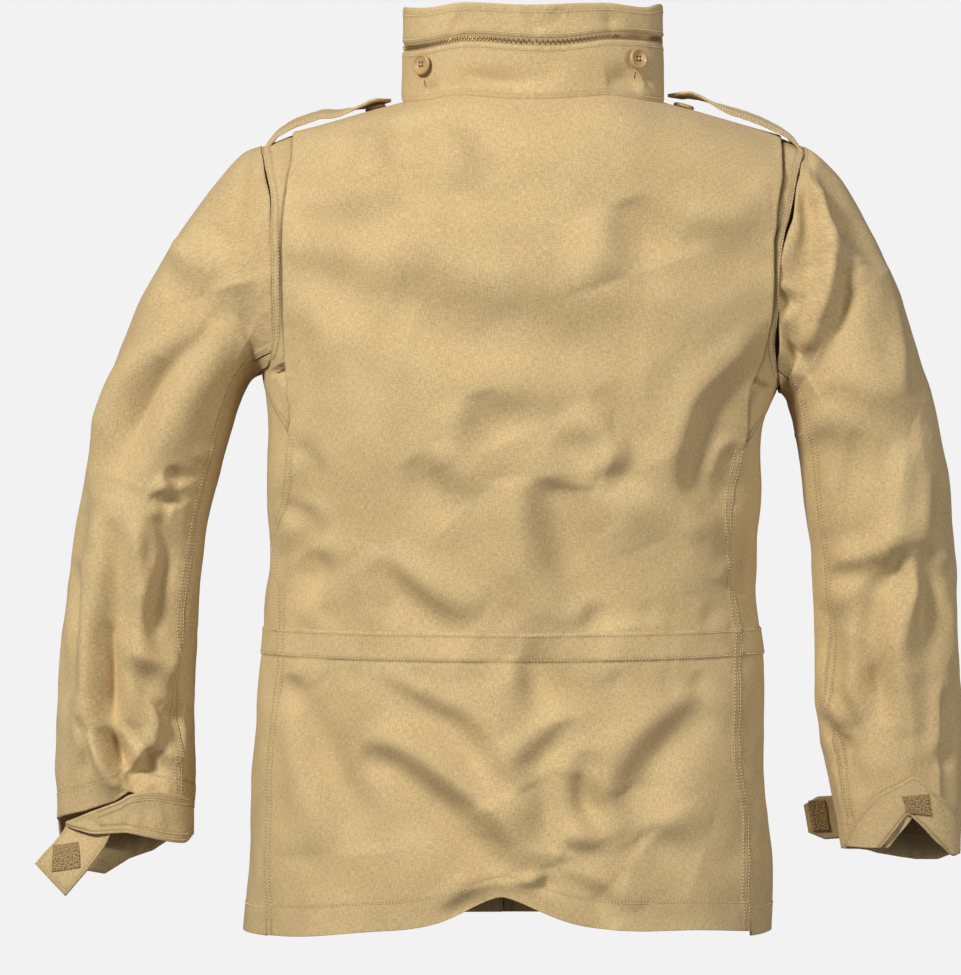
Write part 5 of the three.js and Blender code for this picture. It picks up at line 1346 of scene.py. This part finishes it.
def collar_base(kappa, height):
    kappa, height = np.broadcast_arrays(np.asarray(kappa, float), np.asarray(height, float))
    point = mix(neck_point(kappa), collar_top(kappa), height[..., None])
    wave = mix(ZIP_WAVE(kappa) * smooth(0, 0.6, height), TOP_WAVE(kappa), smooth(0.7, 1, height))
    point[..., 2] += wave
    return point


COLLAR_FOLDS = [
    (2.2, 5, 0.6, [(-7, 84), (-2, 66), (3, 58)]),
    (1.8, 7, 0.5, [(14, 80), (12, 64)]),
    (2.5, 9, 0, [(-60, 20), (-20, 15), (18, 22)]),
    (3, 9, 0, [(105, 8), (85, 16), (60, 12)]),
    (2.5, 7, 0.4, [(118, 30), (110, 16)]),
    (2, 9, 0, [(-115, 12), (-88, 6)]),
    (1.5, 10, 0, [(-70, 70), (-62, 60)]),
    (1.6, 10, 0, [(70, 74), (62, 58)]),
]


def collar_skin(kappa, height, out=0.0, depth=0.0):
    kappa, height = np.broadcast_arrays(np.asarray(kappa, float), np.asarray(height, float))
    normal = normal_of(collar_base, kappa, height, 0.03, 0.05)
    around = kappa * NECK_HALF * 0.98
    up = height * COLLAR["height"]
    relief = fold_relief(COLLAR_FOLDS, around, up) + 0.55 * slackness(around, up, 71)
    for row in (3, 46, 59.5, 76):
        relief = relief + pucker(around, up - row, 72 + int(row), size=6, depth=0.3, reach=6)
    relief = relief * smooth(0, 9, up)
    return collar_base(kappa, height) + normal * np.asarray(out - depth + relief)[..., None]


def make_collar():
    low, high = COLLAR_ZIP["low"], COLLAR_ZIP["high"]
    end = np.pi - COLLAR["end"] / NECK_HALF - 0.06
    kappas = np.linspace(-end, end, 230)
    start = -COLLAR_SEAM / COLLAR["height"]
    lower = np.concatenate([[start, start + 0.008], np.linspace(start + 0.03, low - 0.02, 18),
                            [low - 0.01, low - 0.003, low]])
    upper = np.concatenate([[high, high + 0.003, high + 0.01], np.linspace(high + 0.025, 0.97, 10),
                            [0.985, 0.994, 1]])
    tape = np.linspace(low - 0.02, high + 0.02, 9)
    for name, heights, rows, material, slot, out, thick in (
        ("collar_lower", lower, (0.045, low - 0.05), KHAKI, "cloth", 0, COLLAR_WALL),
        ("collar_zip_tape", tape, (), TAPE, "zip_tape", -COLLAR_ZIP["recess"], 1.6),
        ("collar_upper", upper, (high + 0.035, 0.925), KHAKI, "cloth", 0, COLLAR_WALL),
    ):
        height, kappa = np.meshgrid(heights, kappas, indexing="ij")
        edge = np.minimum(height - heights[0], heights[-1] - height) * COLLAR["height"]
        turned = 1.1 * (1 - smooth(0, 2.0, edge)) ** 2 if out == 0 else 0.0
        outer = collar_skin(kappa, height, out - turned)
        inner = collar_skin(kappa, height, out, depth=thick - (turned if out == 0 else 0.0))
        away = np.full(height.shape, 50.0)
        for row in rows:
            away = np.minimum(away, abs(height - row) * COLLAR["height"])
        piece = shell(f"{name}_cloth", outer, inner, np.stack([kappa * 115, height * 82], -1), away)
        dress(piece, material, slot, "garment", name)
        cut_size(piece, outer)
        for row in rows:
            sew(collar_skin, np.linspace(-end + 0.03, end - 0.03, 300), row, **FINE_STITCH)
    make_zip_teeth(end)


def make_zip_teeth(end):
    """Two rows of moulded teeth that mesh along the middle of the tape"""
    middle = (COLLAR_ZIP["low"] + COLLAR_ZIP["high"]) / 2
    pitch = 1.9
    count = int(2 * (end - 0.04) * NECK_HALF / pitch)
    kappas = np.linspace(-end + 0.04, end - 0.04, count)
    points = collar_skin(kappas, middle, -COLLAR_ZIP["recess"])
    out = collar_skin(kappas, middle, 1 - COLLAR_ZIP["recess"]) - points
    up = collar_skin(kappas, middle + 0.02, -COLLAR_ZIP["recess"]) - points
    out /= np.linalg.norm(out, axis=1, keepdims=True)
    up /= np.linalg.norm(up, axis=1, keepdims=True)
    along = np.cross(up, out)
    corners = []
    faces = []
    for i in range(count):
        side = 1 if i % 2 else -1
        start = len(corners)
        for lift, shrink in ((-0.2, 1.0), (0.75, 1.0), (1.1, 0.72)):
            for a, b in ((-1, -1), (1, -1), (1, 1), (-1, 1)):
                corners.append(points[i] + along[i] * a * 0.62 * shrink
                               + up[i] * (side * 0.75 + b * 1.35 * shrink) + out[i] * lift)
        for low in (start, start + 4):
            for k in range(4):
                n = (k + 1) % 4
                faces.append((low + k, low + n, low + 4 + n, low + 4 + k))
        faces.append(tuple(start + k for k in (3, 2, 1, 0)))
        faces.append(tuple(start + 8 + k for k in range(4)))
    piece = mesh_piece("collar_zip_teeth", corners, faces, smooth_faces=False)
    dress(piece, METAL, "zip_metal")


# Shoulder straps
def make_strap(side):
    path = rounded(STRAP_PATHS[side], 10)
    steps = np.linalg.norm(np.diff(path, axis=0), axis=1)
    run = np.concatenate([[0], np.cumsum(steps)])
    total = run[-1]

    def skin(share, step, out=0.0):
        share, step = np.broadcast_arrays(np.asarray(share, float), np.asarray(step, float))
        at = step * total
        x = np.interp(at, run, path[:, 0])
        z = np.interp(at, run, path[:, 1])
        before_x, after_x = np.interp(at - 3, run, path[:, 0]), np.interp(at + 3, run, path[:, 0])
        before_z, after_z = np.interp(at - 3, run, path[:, 1]), np.interp(at + 3, run, path[:, 1])
        tangent = np.stack([after_x - before_x, after_z - before_z], -1)
        tangent /= np.linalg.norm(tangent, axis=-1, keepdims=True)
        sign = np.sign(tangent[..., 0])
        narrow = np.minimum(1, 0.12 + at / STRAP["point"])
        y = share * STRAP["half"] * narrow
        droop = smooth(0.7, 1, step) * STRAP["droop"] * share ** 2 * (share > 0)
        droop = droop + STRAP["tilt"] * ((1 - share) / 2) ** 1.2 * smooth(0.1, 0.45, step)
        from_rows = (abs(share) - 0.85) * STRAP["half"]
        lift = out + 0.35 * ripple(at, y, 16, 81) + pucker(at, from_rows, 82, size=5, depth=0.3)
        aside = sign * lift
        return np.stack([x - tangent[..., 1] * aside, y, z - droop + tangent[..., 0] * aside], -1)

    steps = np.concatenate([[0, 0.004], np.linspace(0.012, 1, 90)])
    shares = np.concatenate([[-1, -0.985, -0.95], np.linspace(-0.9, 0.9, 19), [0.95, 0.985, 1]])
    step, share = np.meshgrid(steps, shares, indexing="ij")
    turned = 0.8 * np.clip((abs(share) - 0.93) / 0.07, 0, 1) ** 2
    outer = skin(share, step, out=-turned)
    inner = skin(share, step, out=-STRAP_WALL + turned)
    from_edge = (1 - abs(share)) * STRAP["half"]
    away = np.minimum.reduce([abs(from_edge - row) for row in STRAP_ROWS])
    weave = np.stack([share * STRAP["half"], step * total], -1)
    piece = shell(f"epaulette_{side}_cloth", outer, inner, weave, away)
    dress(piece, KHAKI, "cloth", "garment", f"epaulette_{side}")
    cut_size(piece, outer)
    run_steps = np.linspace(0.14, 0.99, 80)
    for inset in STRAP_ROWS:
        for way in (-1, 1):
            sew(skin, way * (1 - inset / STRAP["half"]), run_steps, pitch=2.6, long=2.0)


# Cuffs
def cuff_oval(side, z):
    end = SLEEVES[side]["end"]
    above = SLEEVES[side]["rings"][-1]
    t = np.clip((z - end["z"]) / (above[1] - end["z"]), 0, 1)
    out_x = mix(end["out_x"], above[0], t)
    in_x = mix(end["in_x"], above[2], t)
    return in_x, (out_x - in_x) / 2, mix(end["depth"], above[4], t)


def cuff_point(side, x, z, out):
    sign = SLEEVES[side]["sign"]
    in_x, half, depth = cuff_oval(side, z)
    across = np.clip((x - in_x - half) / half, -0.985, 0.985)
    down = np.sqrt(1 - across ** 2)
    normal = np.stack([sign * across / abs(half), -down / depth, np.zeros(np.shape(across))], -1)
    normal /= np.linalg.norm(normal, axis=-1, keepdims=True)
    point = np.stack([in_x + half + half * across, SLEEVES[side]["end"]["y"] - depth * down,
                      np.broadcast_to(z, np.shape(across))], -1)
    return point + normal * np.asarray(out)[..., None]


TAB_FOLDS = [
    (1.0, 4, 0.6, [(-368, -633), (-363, -645), (-369, -660)]),
    (0.8, 3.5, 0.6, [(-354, -626), (-350, -643), (-353, -662)]),
    (0.7, 4, 0.6, [(-398, -644), (-390, -652), (-384, -660)]),
    (0.7, 4, 0.6, [(-335, -630), (-331, -648), (-327, -664)]),
]


def tab_left_skin(row, share, out=0.0):
    row, share = np.broadcast_arrays(np.asarray(row, float), np.asarray(share, float))
    x = mix(TAB_LEFT["top_x"](row), TAB_LEFT["low_x"](row), share)
    z = mix(TAB_LEFT["top_z"](row), TAB_LEFT["low_z"](row), share)
    creases = 0.6 * ripple(row * 12, share * 40, 13, 91) + fold_relief(TAB_FOLDS, x, z)
    return cuff_point("left", x, z, TAB_LEFT["out"](row) + creases + out)


def make_tab_left():
    row, share = np.meshgrid(np.linspace(0, 9, 90), np.linspace(0, 1, 26), indexing="ij")
    outer = tab_left_skin(row, share)
    inner = tab_left_skin(row, share, -WALL)
    u, v = distances(outer)
    tall = np.maximum(u[:, -1:], 1)
    away = np.minimum(abs(share * tall - 2.5), abs((1 - share) * tall - 2.5))
    away = np.minimum(away, np.minimum(abs(share * tall - 7.5), abs((1 - share) * tall - 7.5)))
    away = np.where(tall > 22, away, abs((1 - share) * tall - 2.5))
    piece = shell("cuff_tab_left_cloth", outer, inner, np.stack([v, share * 40], -1), away)
    dress(piece, KHAKI, "cloth", "garment", "cuff_tab_left")
    cut_size(piece, outer)
    rows = np.linspace(0.6, 8.9, 60)
    for share in (0.06, 0.94):
        sew(tab_left_skin, rows, share, **FINE_STITCH)
    for share in (0.18, 0.82):
        sew(tab_left_skin, np.linspace(4.6, 8.7, 30), share, **FINE_STITCH)


def tab_right_skin(share, z, out=0.0):
    share, z = np.broadcast_arrays(np.asarray(share, float), np.asarray(z, float))
    in_x, half, depth = cuff_oval("right", z)
    straight = TAB_RIGHT["straight_from"]
    phi = np.radians(mix(TAB_RIGHT["from"], TAB_RIGHT["leaves"], np.minimum(1, share / straight)))
    y = SLEEVES["right"]["end"]["y"] - depth * np.sin(phi)
    point = np.stack([in_x + half + half * np.cos(phi), y, z], -1)
    normal = np.stack([np.cos(phi) / half, -np.sin(phi) / depth, np.zeros(share.shape)], -1)
    normal /= np.linalg.norm(normal, axis=-1, keepdims=True)
    heading = np.stack([half * np.sin(phi), depth * np.cos(phi), np.zeros(share.shape)], -1)
    heading /= np.linalg.norm(heading, axis=-1, keepdims=True)
    past = TAB_RIGHT["past"] * np.maximum(0, share - straight) / (1 - straight)
    lift = np.asarray(out + 0.4 * ripple(share * 120, z, 14, 95))
    return point + normal * lift[..., None] + heading * past[..., None]


def tab_right_z(share, down):
    tip = np.maximum(0, (share - 0.88) / 0.12)
    return mix(TAB_RIGHT["top"], TAB_RIGHT["low"], down) + tip * (down - 0.5) * TAB_RIGHT["chamfer"]


def make_tab_right():
    share, down = np.meshgrid(np.concatenate([np.linspace(0, 0.88, 60)[:-1], np.linspace(0.88, 1, 14)]),
                              np.linspace(0, 1, 22), indexing="ij")
    z = tab_right_z(share, down)
    out = TAB_RIGHT["out"]
    outer = tab_right_skin(share, z, out + WALL)
    inner = tab_right_skin(share, z, out)
    wide = TAB_RIGHT["top"] - TAB_RIGHT["low"]
    away = np.minimum(abs(down * wide - 2.5), abs((1 - down) * wide - 2.5))
    piece = shell("cuff_tab_right_cloth", outer, inner, np.stack([share * 150, z], -1), away)
    dress(piece, KHAKI, "cloth", "garment", "cuff_tab_right")
    cut_size(piece, outer)
    share, down = np.meshgrid(np.linspace(0.84, 0.97, 16), np.linspace(0, 1, 22), indexing="ij")
    z = mix(TAB_RIGHT["top"] - 3, TAB_RIGHT["low"] + 8, down)
    fuzz = 0.35 * np.random.default_rng(5).uniform(-1, 1, share.shape)
    outer = tab_right_skin(share, z, out - LAID_ON - 1 + fuzz)
    inner = tab_right_skin(share, z, out - LAID_ON)
    piece = shell("tab_patch_right_pile", outer, inner, np.stack([share * 150, z], -1))
    dress(piece, PILE, "hook_and_loop", "garment", "tab_patch_right")
    cut_size(piece, outer)


def guard_left_skin(across, down, out=0.0):
    across, down = np.broadcast_arrays(np.asarray(across, float), np.asarray(down, float))
    corner = {name: np.array(GUARD_LEFT[name]) for name in ("cuff_out", "cuff_in", "free_in", "free_out")}
    top = mix(corner["cuff_out"], corner["cuff_in"], across[..., None])
    low = mix(corner["free_out"], corner["free_in"], across[..., None])
    normal = np.cross(corner["cuff_in"] - corner["cuff_out"], corner["free_out"] - corner["cuff_out"])
    normal /= np.linalg.norm(normal)
    if normal[1] > 0:
        normal = -normal
    swing = (down ** GUARD_LEFT["starts_upright"])[..., None]
    bow = GUARD_LEFT["bow"] * np.sin(np.pi * down) * (0.4 + 0.6 * np.sin(np.pi * across))
    bow = bow + 0.5 * ripple(across * 50, down * 60, 15, 97)
    point = mix(top, low, swing)
    point[..., 2] = mix(top[..., 2], low[..., 2], down)
    return point + normal * np.asarray(out + bow)[..., None]


def patch_cells(corners, u, v):
    a, b, c, d = np.array(corners, float)
    return mix(mix(a, b, u[..., None]), mix(d, c, u[..., None]), v[..., None])


def make_guard_left():
    def skin(a, b, out=0.0):
        return guard_left_skin(a, b, out + WALL / 2)

    down, across = np.meshgrid(np.linspace(0, 1, 40), np.linspace(0, 1, 34), indexing="ij")
    outer = skin(across, down)
    inner = guard_left_skin(across, down, -WALL / 2)
    wide, tall = GUARD_LEFT["wide"], GUARD_LEFT["tall"]
    edge = np.minimum(np.minimum(across, 1 - across) * wide, (1 - down) * tall)
    weave = np.stack([across * wide, down * tall], -1)
    piece = shell("hand_guard_left_cloth", outer, inner, weave, abs(edge - 2.5))
    dress(piece, KHAKI, "cloth", "garment", "hand_guard_left")
    cut_size(piece, outer)
    for fixed in (0.055, 0.945):
        sew(skin, fixed, np.linspace(0.1, 0.96, 40), **FINE_STITCH)
    sew(skin, np.linspace(0.05, 0.95, 30), 0.96, **FINE_STITCH)
    v, u = np.meshgrid(np.linspace(0, 1, 26), np.linspace(0, 1, 26), indexing="ij")
    place = patch_cells(PATCH_LEFT, u, v)
    fuzz = 0.35 * np.random.default_rng(6).uniform(-1, 1, u.shape)
    outer = guard_left_skin(place[..., 0], place[..., 1], WALL / 2 + 1.1 + fuzz)
    inner = guard_left_skin(place[..., 0], place[..., 1], WALL / 2 + 0.1)
    piece = shell("hook_patch_left_pile", outer, inner, np.stack([u * 26, v * 26], -1))
    dress(piece, PILE, "hook_and_loop", "garment", "hook_patch_left")
    cut_size(piece, outer)


def guard_right_out(share):
    a, b, c = GUARD_RIGHT_OUT["at_fold"], GUARD_RIGHT_OUT["middle"], GUARD_RIGHT_OUT["at_edge"]
    return mix(mix(a, b, share), mix(b, c, share), share)


def guard_right_skin(row, share, out=0.0):
    row, share = np.broadcast_arrays(np.asarray(row, float), np.asarray(share, float))
    x = mix(GUARD_RIGHT["fold_x"](row), GUARD_RIGHT["free_x"](row), share)
    z = mix(GUARD_RIGHT["fold_z"](row), GUARD_RIGHT["free_z"](row), share)
    lift = guard_right_out(share) + 0.45 * ripple(row * 9, share * 35, 12, 99)
    return cuff_point("right", x, z, lift + out)


def make_guard_right():
    row, share = np.meshgrid(np.linspace(0, 11, 110), np.linspace(0, 1, 26), indexing="ij")
    outer = guard_right_skin(row, share)
    inner = guard_right_skin(row, share, -WALL)
    away = np.minimum(abs(share - 0.08) * 34, abs(share - 0.93) * 34)
    piece = shell("hand_guard_right_cloth", outer, inner, np.stack([row * 12, share * 36], -1), away)
    dress(piece, KHAKI, "cloth", "garment", "hand_guard_right")
    cut_size(piece, outer)
    sew(guard_right_skin, np.linspace(0.3, 10.8, 90), 0.93, **FINE_STITCH)
    v, u = np.meshgrid(np.linspace(0, 1, 22), np.linspace(0, 1, 26), indexing="ij")
    place = patch_cells(PATCH_RIGHT, u, v)
    fuzz = 0.35 * np.random.default_rng(7).uniform(-1, 1, u.shape)
    lift = guard_right_out(0.5)
    outer = cuff_point("right", place[..., 0], place[..., 1], lift + 1.3 + fuzz)
    inner = cuff_point("right", place[..., 0], place[..., 1], lift + 0.2 + 0 * u)
    piece = shell("hook_patch_right_pile", outer, inner, np.stack([u * 24, v * 20], -1))
    dress(piece, PILE, "hook_and_loop", "garment", "hook_patch_right")
    cut_size(piece, outer)


# Buttons
def lathe(profile, sides=56):
    points = []
    faces = []
    for r, z in profile:
        for s in range(sides):
            turn = 2 * math.pi * s / sides
            points.append((r * math.cos(turn), r * math.sin(turn), z))
    for ring in range(len(profile) - 1):
        for s in range(sides):
            t = (s + 1) % sides
            a = ring * sides
            faces.append((a + s, a + t, a + sides + t, a + sides + s))
    faces.append(tuple(reversed(range(sides))))
    last = (len(profile) - 1) * sides
    faces.append(tuple(last + s for s in range(sides)))
    return points, faces


def rounded_profile():
    radius, thick, rim, dish = (BUTTON[key] for key in ("radius", "thick", "rim", "dish"))
    profile = [(0.3, 0), (radius - 1.2, 0)]
    for degrees in range(-80, 181, 20):
        turn = math.radians(degrees)
        if degrees < 90:
            profile.append((radius - 1.1 + 1.1 * math.cos(turn), thick / 2 + (thick / 2) * math.sin(turn)))
        else:
            profile.append((radius - rim - 0.2 + 0.9 * math.cos(turn), thick - 0.75 + 0.75 * math.sin(turn)))
    profile += [(radius - rim - 1.4, thick - dish), (4.6, thick - dish - 0.05), (4.2, thick - dish - 0.35),
                (0.3, thick - dish - 0.4)]
    return profile


def make_button(name):
    """A four-hole button with a rolled rim, set where the solid button sits"""
    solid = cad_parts[name]
    points = np.array([v.co for v in solid.data.vertices]) / METRES
    centre = points.mean(0)
    spread = points - centre
    _, _, axes = np.linalg.svd(spread, full_matrices=False)
    normal = axes[2]
    if (name.startswith("collar") and normal[1] > 0) or (name.startswith("shoulder") and normal[2] < 0):
        normal = -normal
    up = np.array([0, 0, 1.0]) if abs(normal[2]) < 0.8 else np.array([0, 1.0, 0])
    across = np.cross(up, normal)
    across /= np.linalg.norm(across)
    up = np.cross(normal, across)
    height = spread @ normal
    face = height.max() - BUTTON["thick"]
    base = centre + normal * face
    profile = rounded_profile()
    local, faces = lathe(profile)

    def place(p):
        return base + across * p[0] + up * p[1] + normal * p[2]

    disc = mesh_piece(f"{name}_disc", [place(p) for p in local], faces)
    dress(disc, HORN, "button", "garment", name)
    # Painted shade: the four holes are closed dark funnels in the button hole shade material, standing for
    # the shade inside them
    holes = []
    hole_faces = []
    top = BUTTON["thick"] - BUTTON["dish"] - 0.36
    for degrees in (45, 135, 225, 315):
        turn = math.radians(degrees)
        x, y = BUTTON["hole_out"] * math.cos(turn), BUTTON["hole_out"] * math.sin(turn)
        start = len(holes)
        for r, z in ((1.15, top), (0.95, top + 0.06), (0.8, top + 0.02), (0.2, top - 0.1)):
            for s in range(14):
                around = 2 * math.pi * s / 14
                holes.append(place((x + r * math.cos(around), y + r * math.sin(around), z)))
        for ring in range(3):
            for s in range(14):
                t = (s + 1) % 14
                a = start + ring * 14
                hole_faces.append((a + s, a + t, a + 14 + t, a + 14 + s))
        hole_faces.append(tuple(start + 42 + s for s in range(14)))
        hole_faces.append(tuple(start + s for s in reversed(range(14))))
    dark = mesh_piece(f"{name}_holes", holes, hole_faces)
    dress(dark, DARK, "button")
    for a, b in (((-1.5, -1.5), (1.5, 1.5)), ((-1.5, 1.5), (1.5, -1.5))):
        line = [place((mix(a[0], b[0], t), mix(a[1], b[1], t), top + 0.12 + 0.5 * math.sin(math.pi * t)))
                for t in np.linspace(0, 1, 7)]
        stitches.row(line, np.repeat(normal[None], 7, 0), pitch=4.3, long=4.2, radius=0.34)


def make_buttons():
    for side, x, height in COLLAR_BUTTONS:
        make_button(f"collar_button_{side}")
        kappa = math.asin(math.copysign((abs(x) / NECK_HALF) ** (SQUARENESS / 2), x))
        lows = np.linspace(height - 0.13, height - 0.235, 8)
        for shift in (-0.007, 0.007):
            sew(lambda a, b, out=0.0: collar_skin(a, b, out + 0.1), kappa + shift, lows, pitch=1.1, long=0.9,
                radius=0.42)
        # Painted shade: a dark slit in the button hole shade material stands for the shade in each
        # buttonhole's opening
        points = collar_skin(np.full(8, kappa), lows)
        slits.row(points, collar_skin(np.full(8, kappa), lows, 1.0) - points, pitch=9, long=7.6, radius=0.5,
                  sunk=-0.2)
    for side in ("left", "right"):
        make_button(f"shoulder_button_{side}")


# Short dense rows
def sew_bartacks():
    """The bartacks across the casing"""
    for x, high, low in BARTACKS:
        levels = np.linspace(high, low, 10)
        for shift in (-0.35, 0.35):
            sew(back_skin, torso_angle(x + shift, levels, "back"), levels, **BARTACK)


def sew_under_sleeve_seams():
    """The cross seam of each under sleeve, at its own level"""
    for side, level in SLEEVE_SEAM_LEVELS:
        run = np.linspace(0, 16, 600)
        heights = sleeve_base(side, math.radians(165), run)[:, 2]
        station = float(np.interp(-level, -heights, run))
        around = np.radians(np.linspace(SLEEVES[side]["seam"] + 2, 200, 30))
        for shift in (-0.06, 0.06):
            sew(partial(sleeve_skin, side), around, station + shift)


# The jacket
make_back()
for side in ("left", "right"):
    make_pleat(side)
    make_front(side)
    make_sleeve(side)
    make_strap(side)
make_front_middle()
make_collar()
make_tab_left()
make_tab_right()
make_guard_left()
make_guard_right()
make_buttons()
sew_bartacks()
sew_under_sleeve_seams()
stitches.make("stitching", KHAKI_THREAD)
# The buttonhole slits are painted shade: dark strips standing for the shade in the openings
slits.make("buttonhole_slits", DARK)
for name in ("collar_zip_slider", "collar_zip_pull"):
    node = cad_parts[name]
    node.data.materials.clear()
    node.data.materials.append(METAL)


# Camera, light and floor, in metres
CAMERA = {"place": (-0.0475, -3.0, -0.35), "away": 3.0, "sensor": 36, "view_height": 0.882375}
AIM = (0, 0, -0.35)
FLOOR = {"level": -0.86, "half": 14.0, "bend_from": 9.0, "bend": 3.0, "wall_top": 9.0}


def make_camera():
    data = bpy.data.cameras.new("camera")
    data.sensor_fit = "VERTICAL"
    data.sensor_height = CAMERA["sensor"]
    data.lens = CAMERA["sensor"] * CAMERA["away"] / CAMERA["view_height"]
    camera = bpy.data.objects.new("camera", data)
    camera.location = CAMERA["place"]
    camera.rotation_euler = (math.radians(90), 0, 0)
    bpy.context.scene.collection.objects.link(camera)
    bpy.context.scene.camera = camera


def make_light(name, place, size, power, colour=(1, 1, 1)):
    data = bpy.data.lights.new(name, "AREA")
    data.shape = "SQUARE"
    data.size = size
    data.energy = power
    data.color = colour
    light = bpy.data.objects.new(name, data)
    light.location = place
    light.rotation_euler = (Vector(AIM) - Vector(place)).to_track_quat("-Z", "Y").to_euler()
    bpy.context.scene.collection.objects.link(light)


def make_stage():
    made, tree, shader = new_material("pale floor", (0.89, 0.89, 0.89))
    noise = add(tree, "ShaderNodeTexNoise", {"Scale": 3.0})
    colour = add(tree, "ShaderNodeMix", {"Factor": noise.outputs["Fac"], "A": (0.885, 0.885, 0.885, 1),
                                         "B": (0.891, 0.891, 0.891, 1)}, data_type="RGBA")
    glow = add(tree, "ShaderNodeEmission", {"Color": colour.outputs["Result"], "Strength": 1.0})
    output = tree.nodes["Material Output"]
    tree.links.new(glow.outputs[0], output.inputs["Surface"])
    tree.nodes.remove(shader)
    level, half, start, bend = (FLOOR[key] for key in ("level", "half", "bend_from", "bend"))
    profile = [(-half, level), (start, level)]
    profile += [(start + bend * math.sin(t), level + bend - bend * math.cos(t))
                for t in np.linspace(0.1, math.pi / 2, 12)]
    profile += [(start + bend, FLOOR["wall_top"])]
    points = [(x, y, z) for y, z in profile for x in (-half, half)]
    faces = [(2 * i, 2 * i + 1, 2 * i + 3, 2 * i + 2) for i in range(len(profile) - 1)]
    floor = mesh_piece("floor", np.array(points) / METRES, faces)
    floor.data.materials.append(made)
    floor.visible_diffuse = False
    floor.visible_glossy = False
    floor.visible_shadow = False


make_camera()
make_light("key", (-2.7, -3.7, 2.3), 0.9, 275, (1.0, 0.985, 0.95))
make_light("fill", (3.4, -3.2, 0.2), 2.0, 72)
make_stage()
world = bpy.data.worlds.new("studio")
world.use_nodes = True
world.node_tree.nodes["Background"].inputs["Color"].default_value = (0.93, 0.95, 1.0, 1)
world.node_tree.nodes["Background"].inputs["Strength"].default_value = 0.15
bpy.context.scene.world = world
bpy.context.scene.view_settings.view_transform = "Standard"
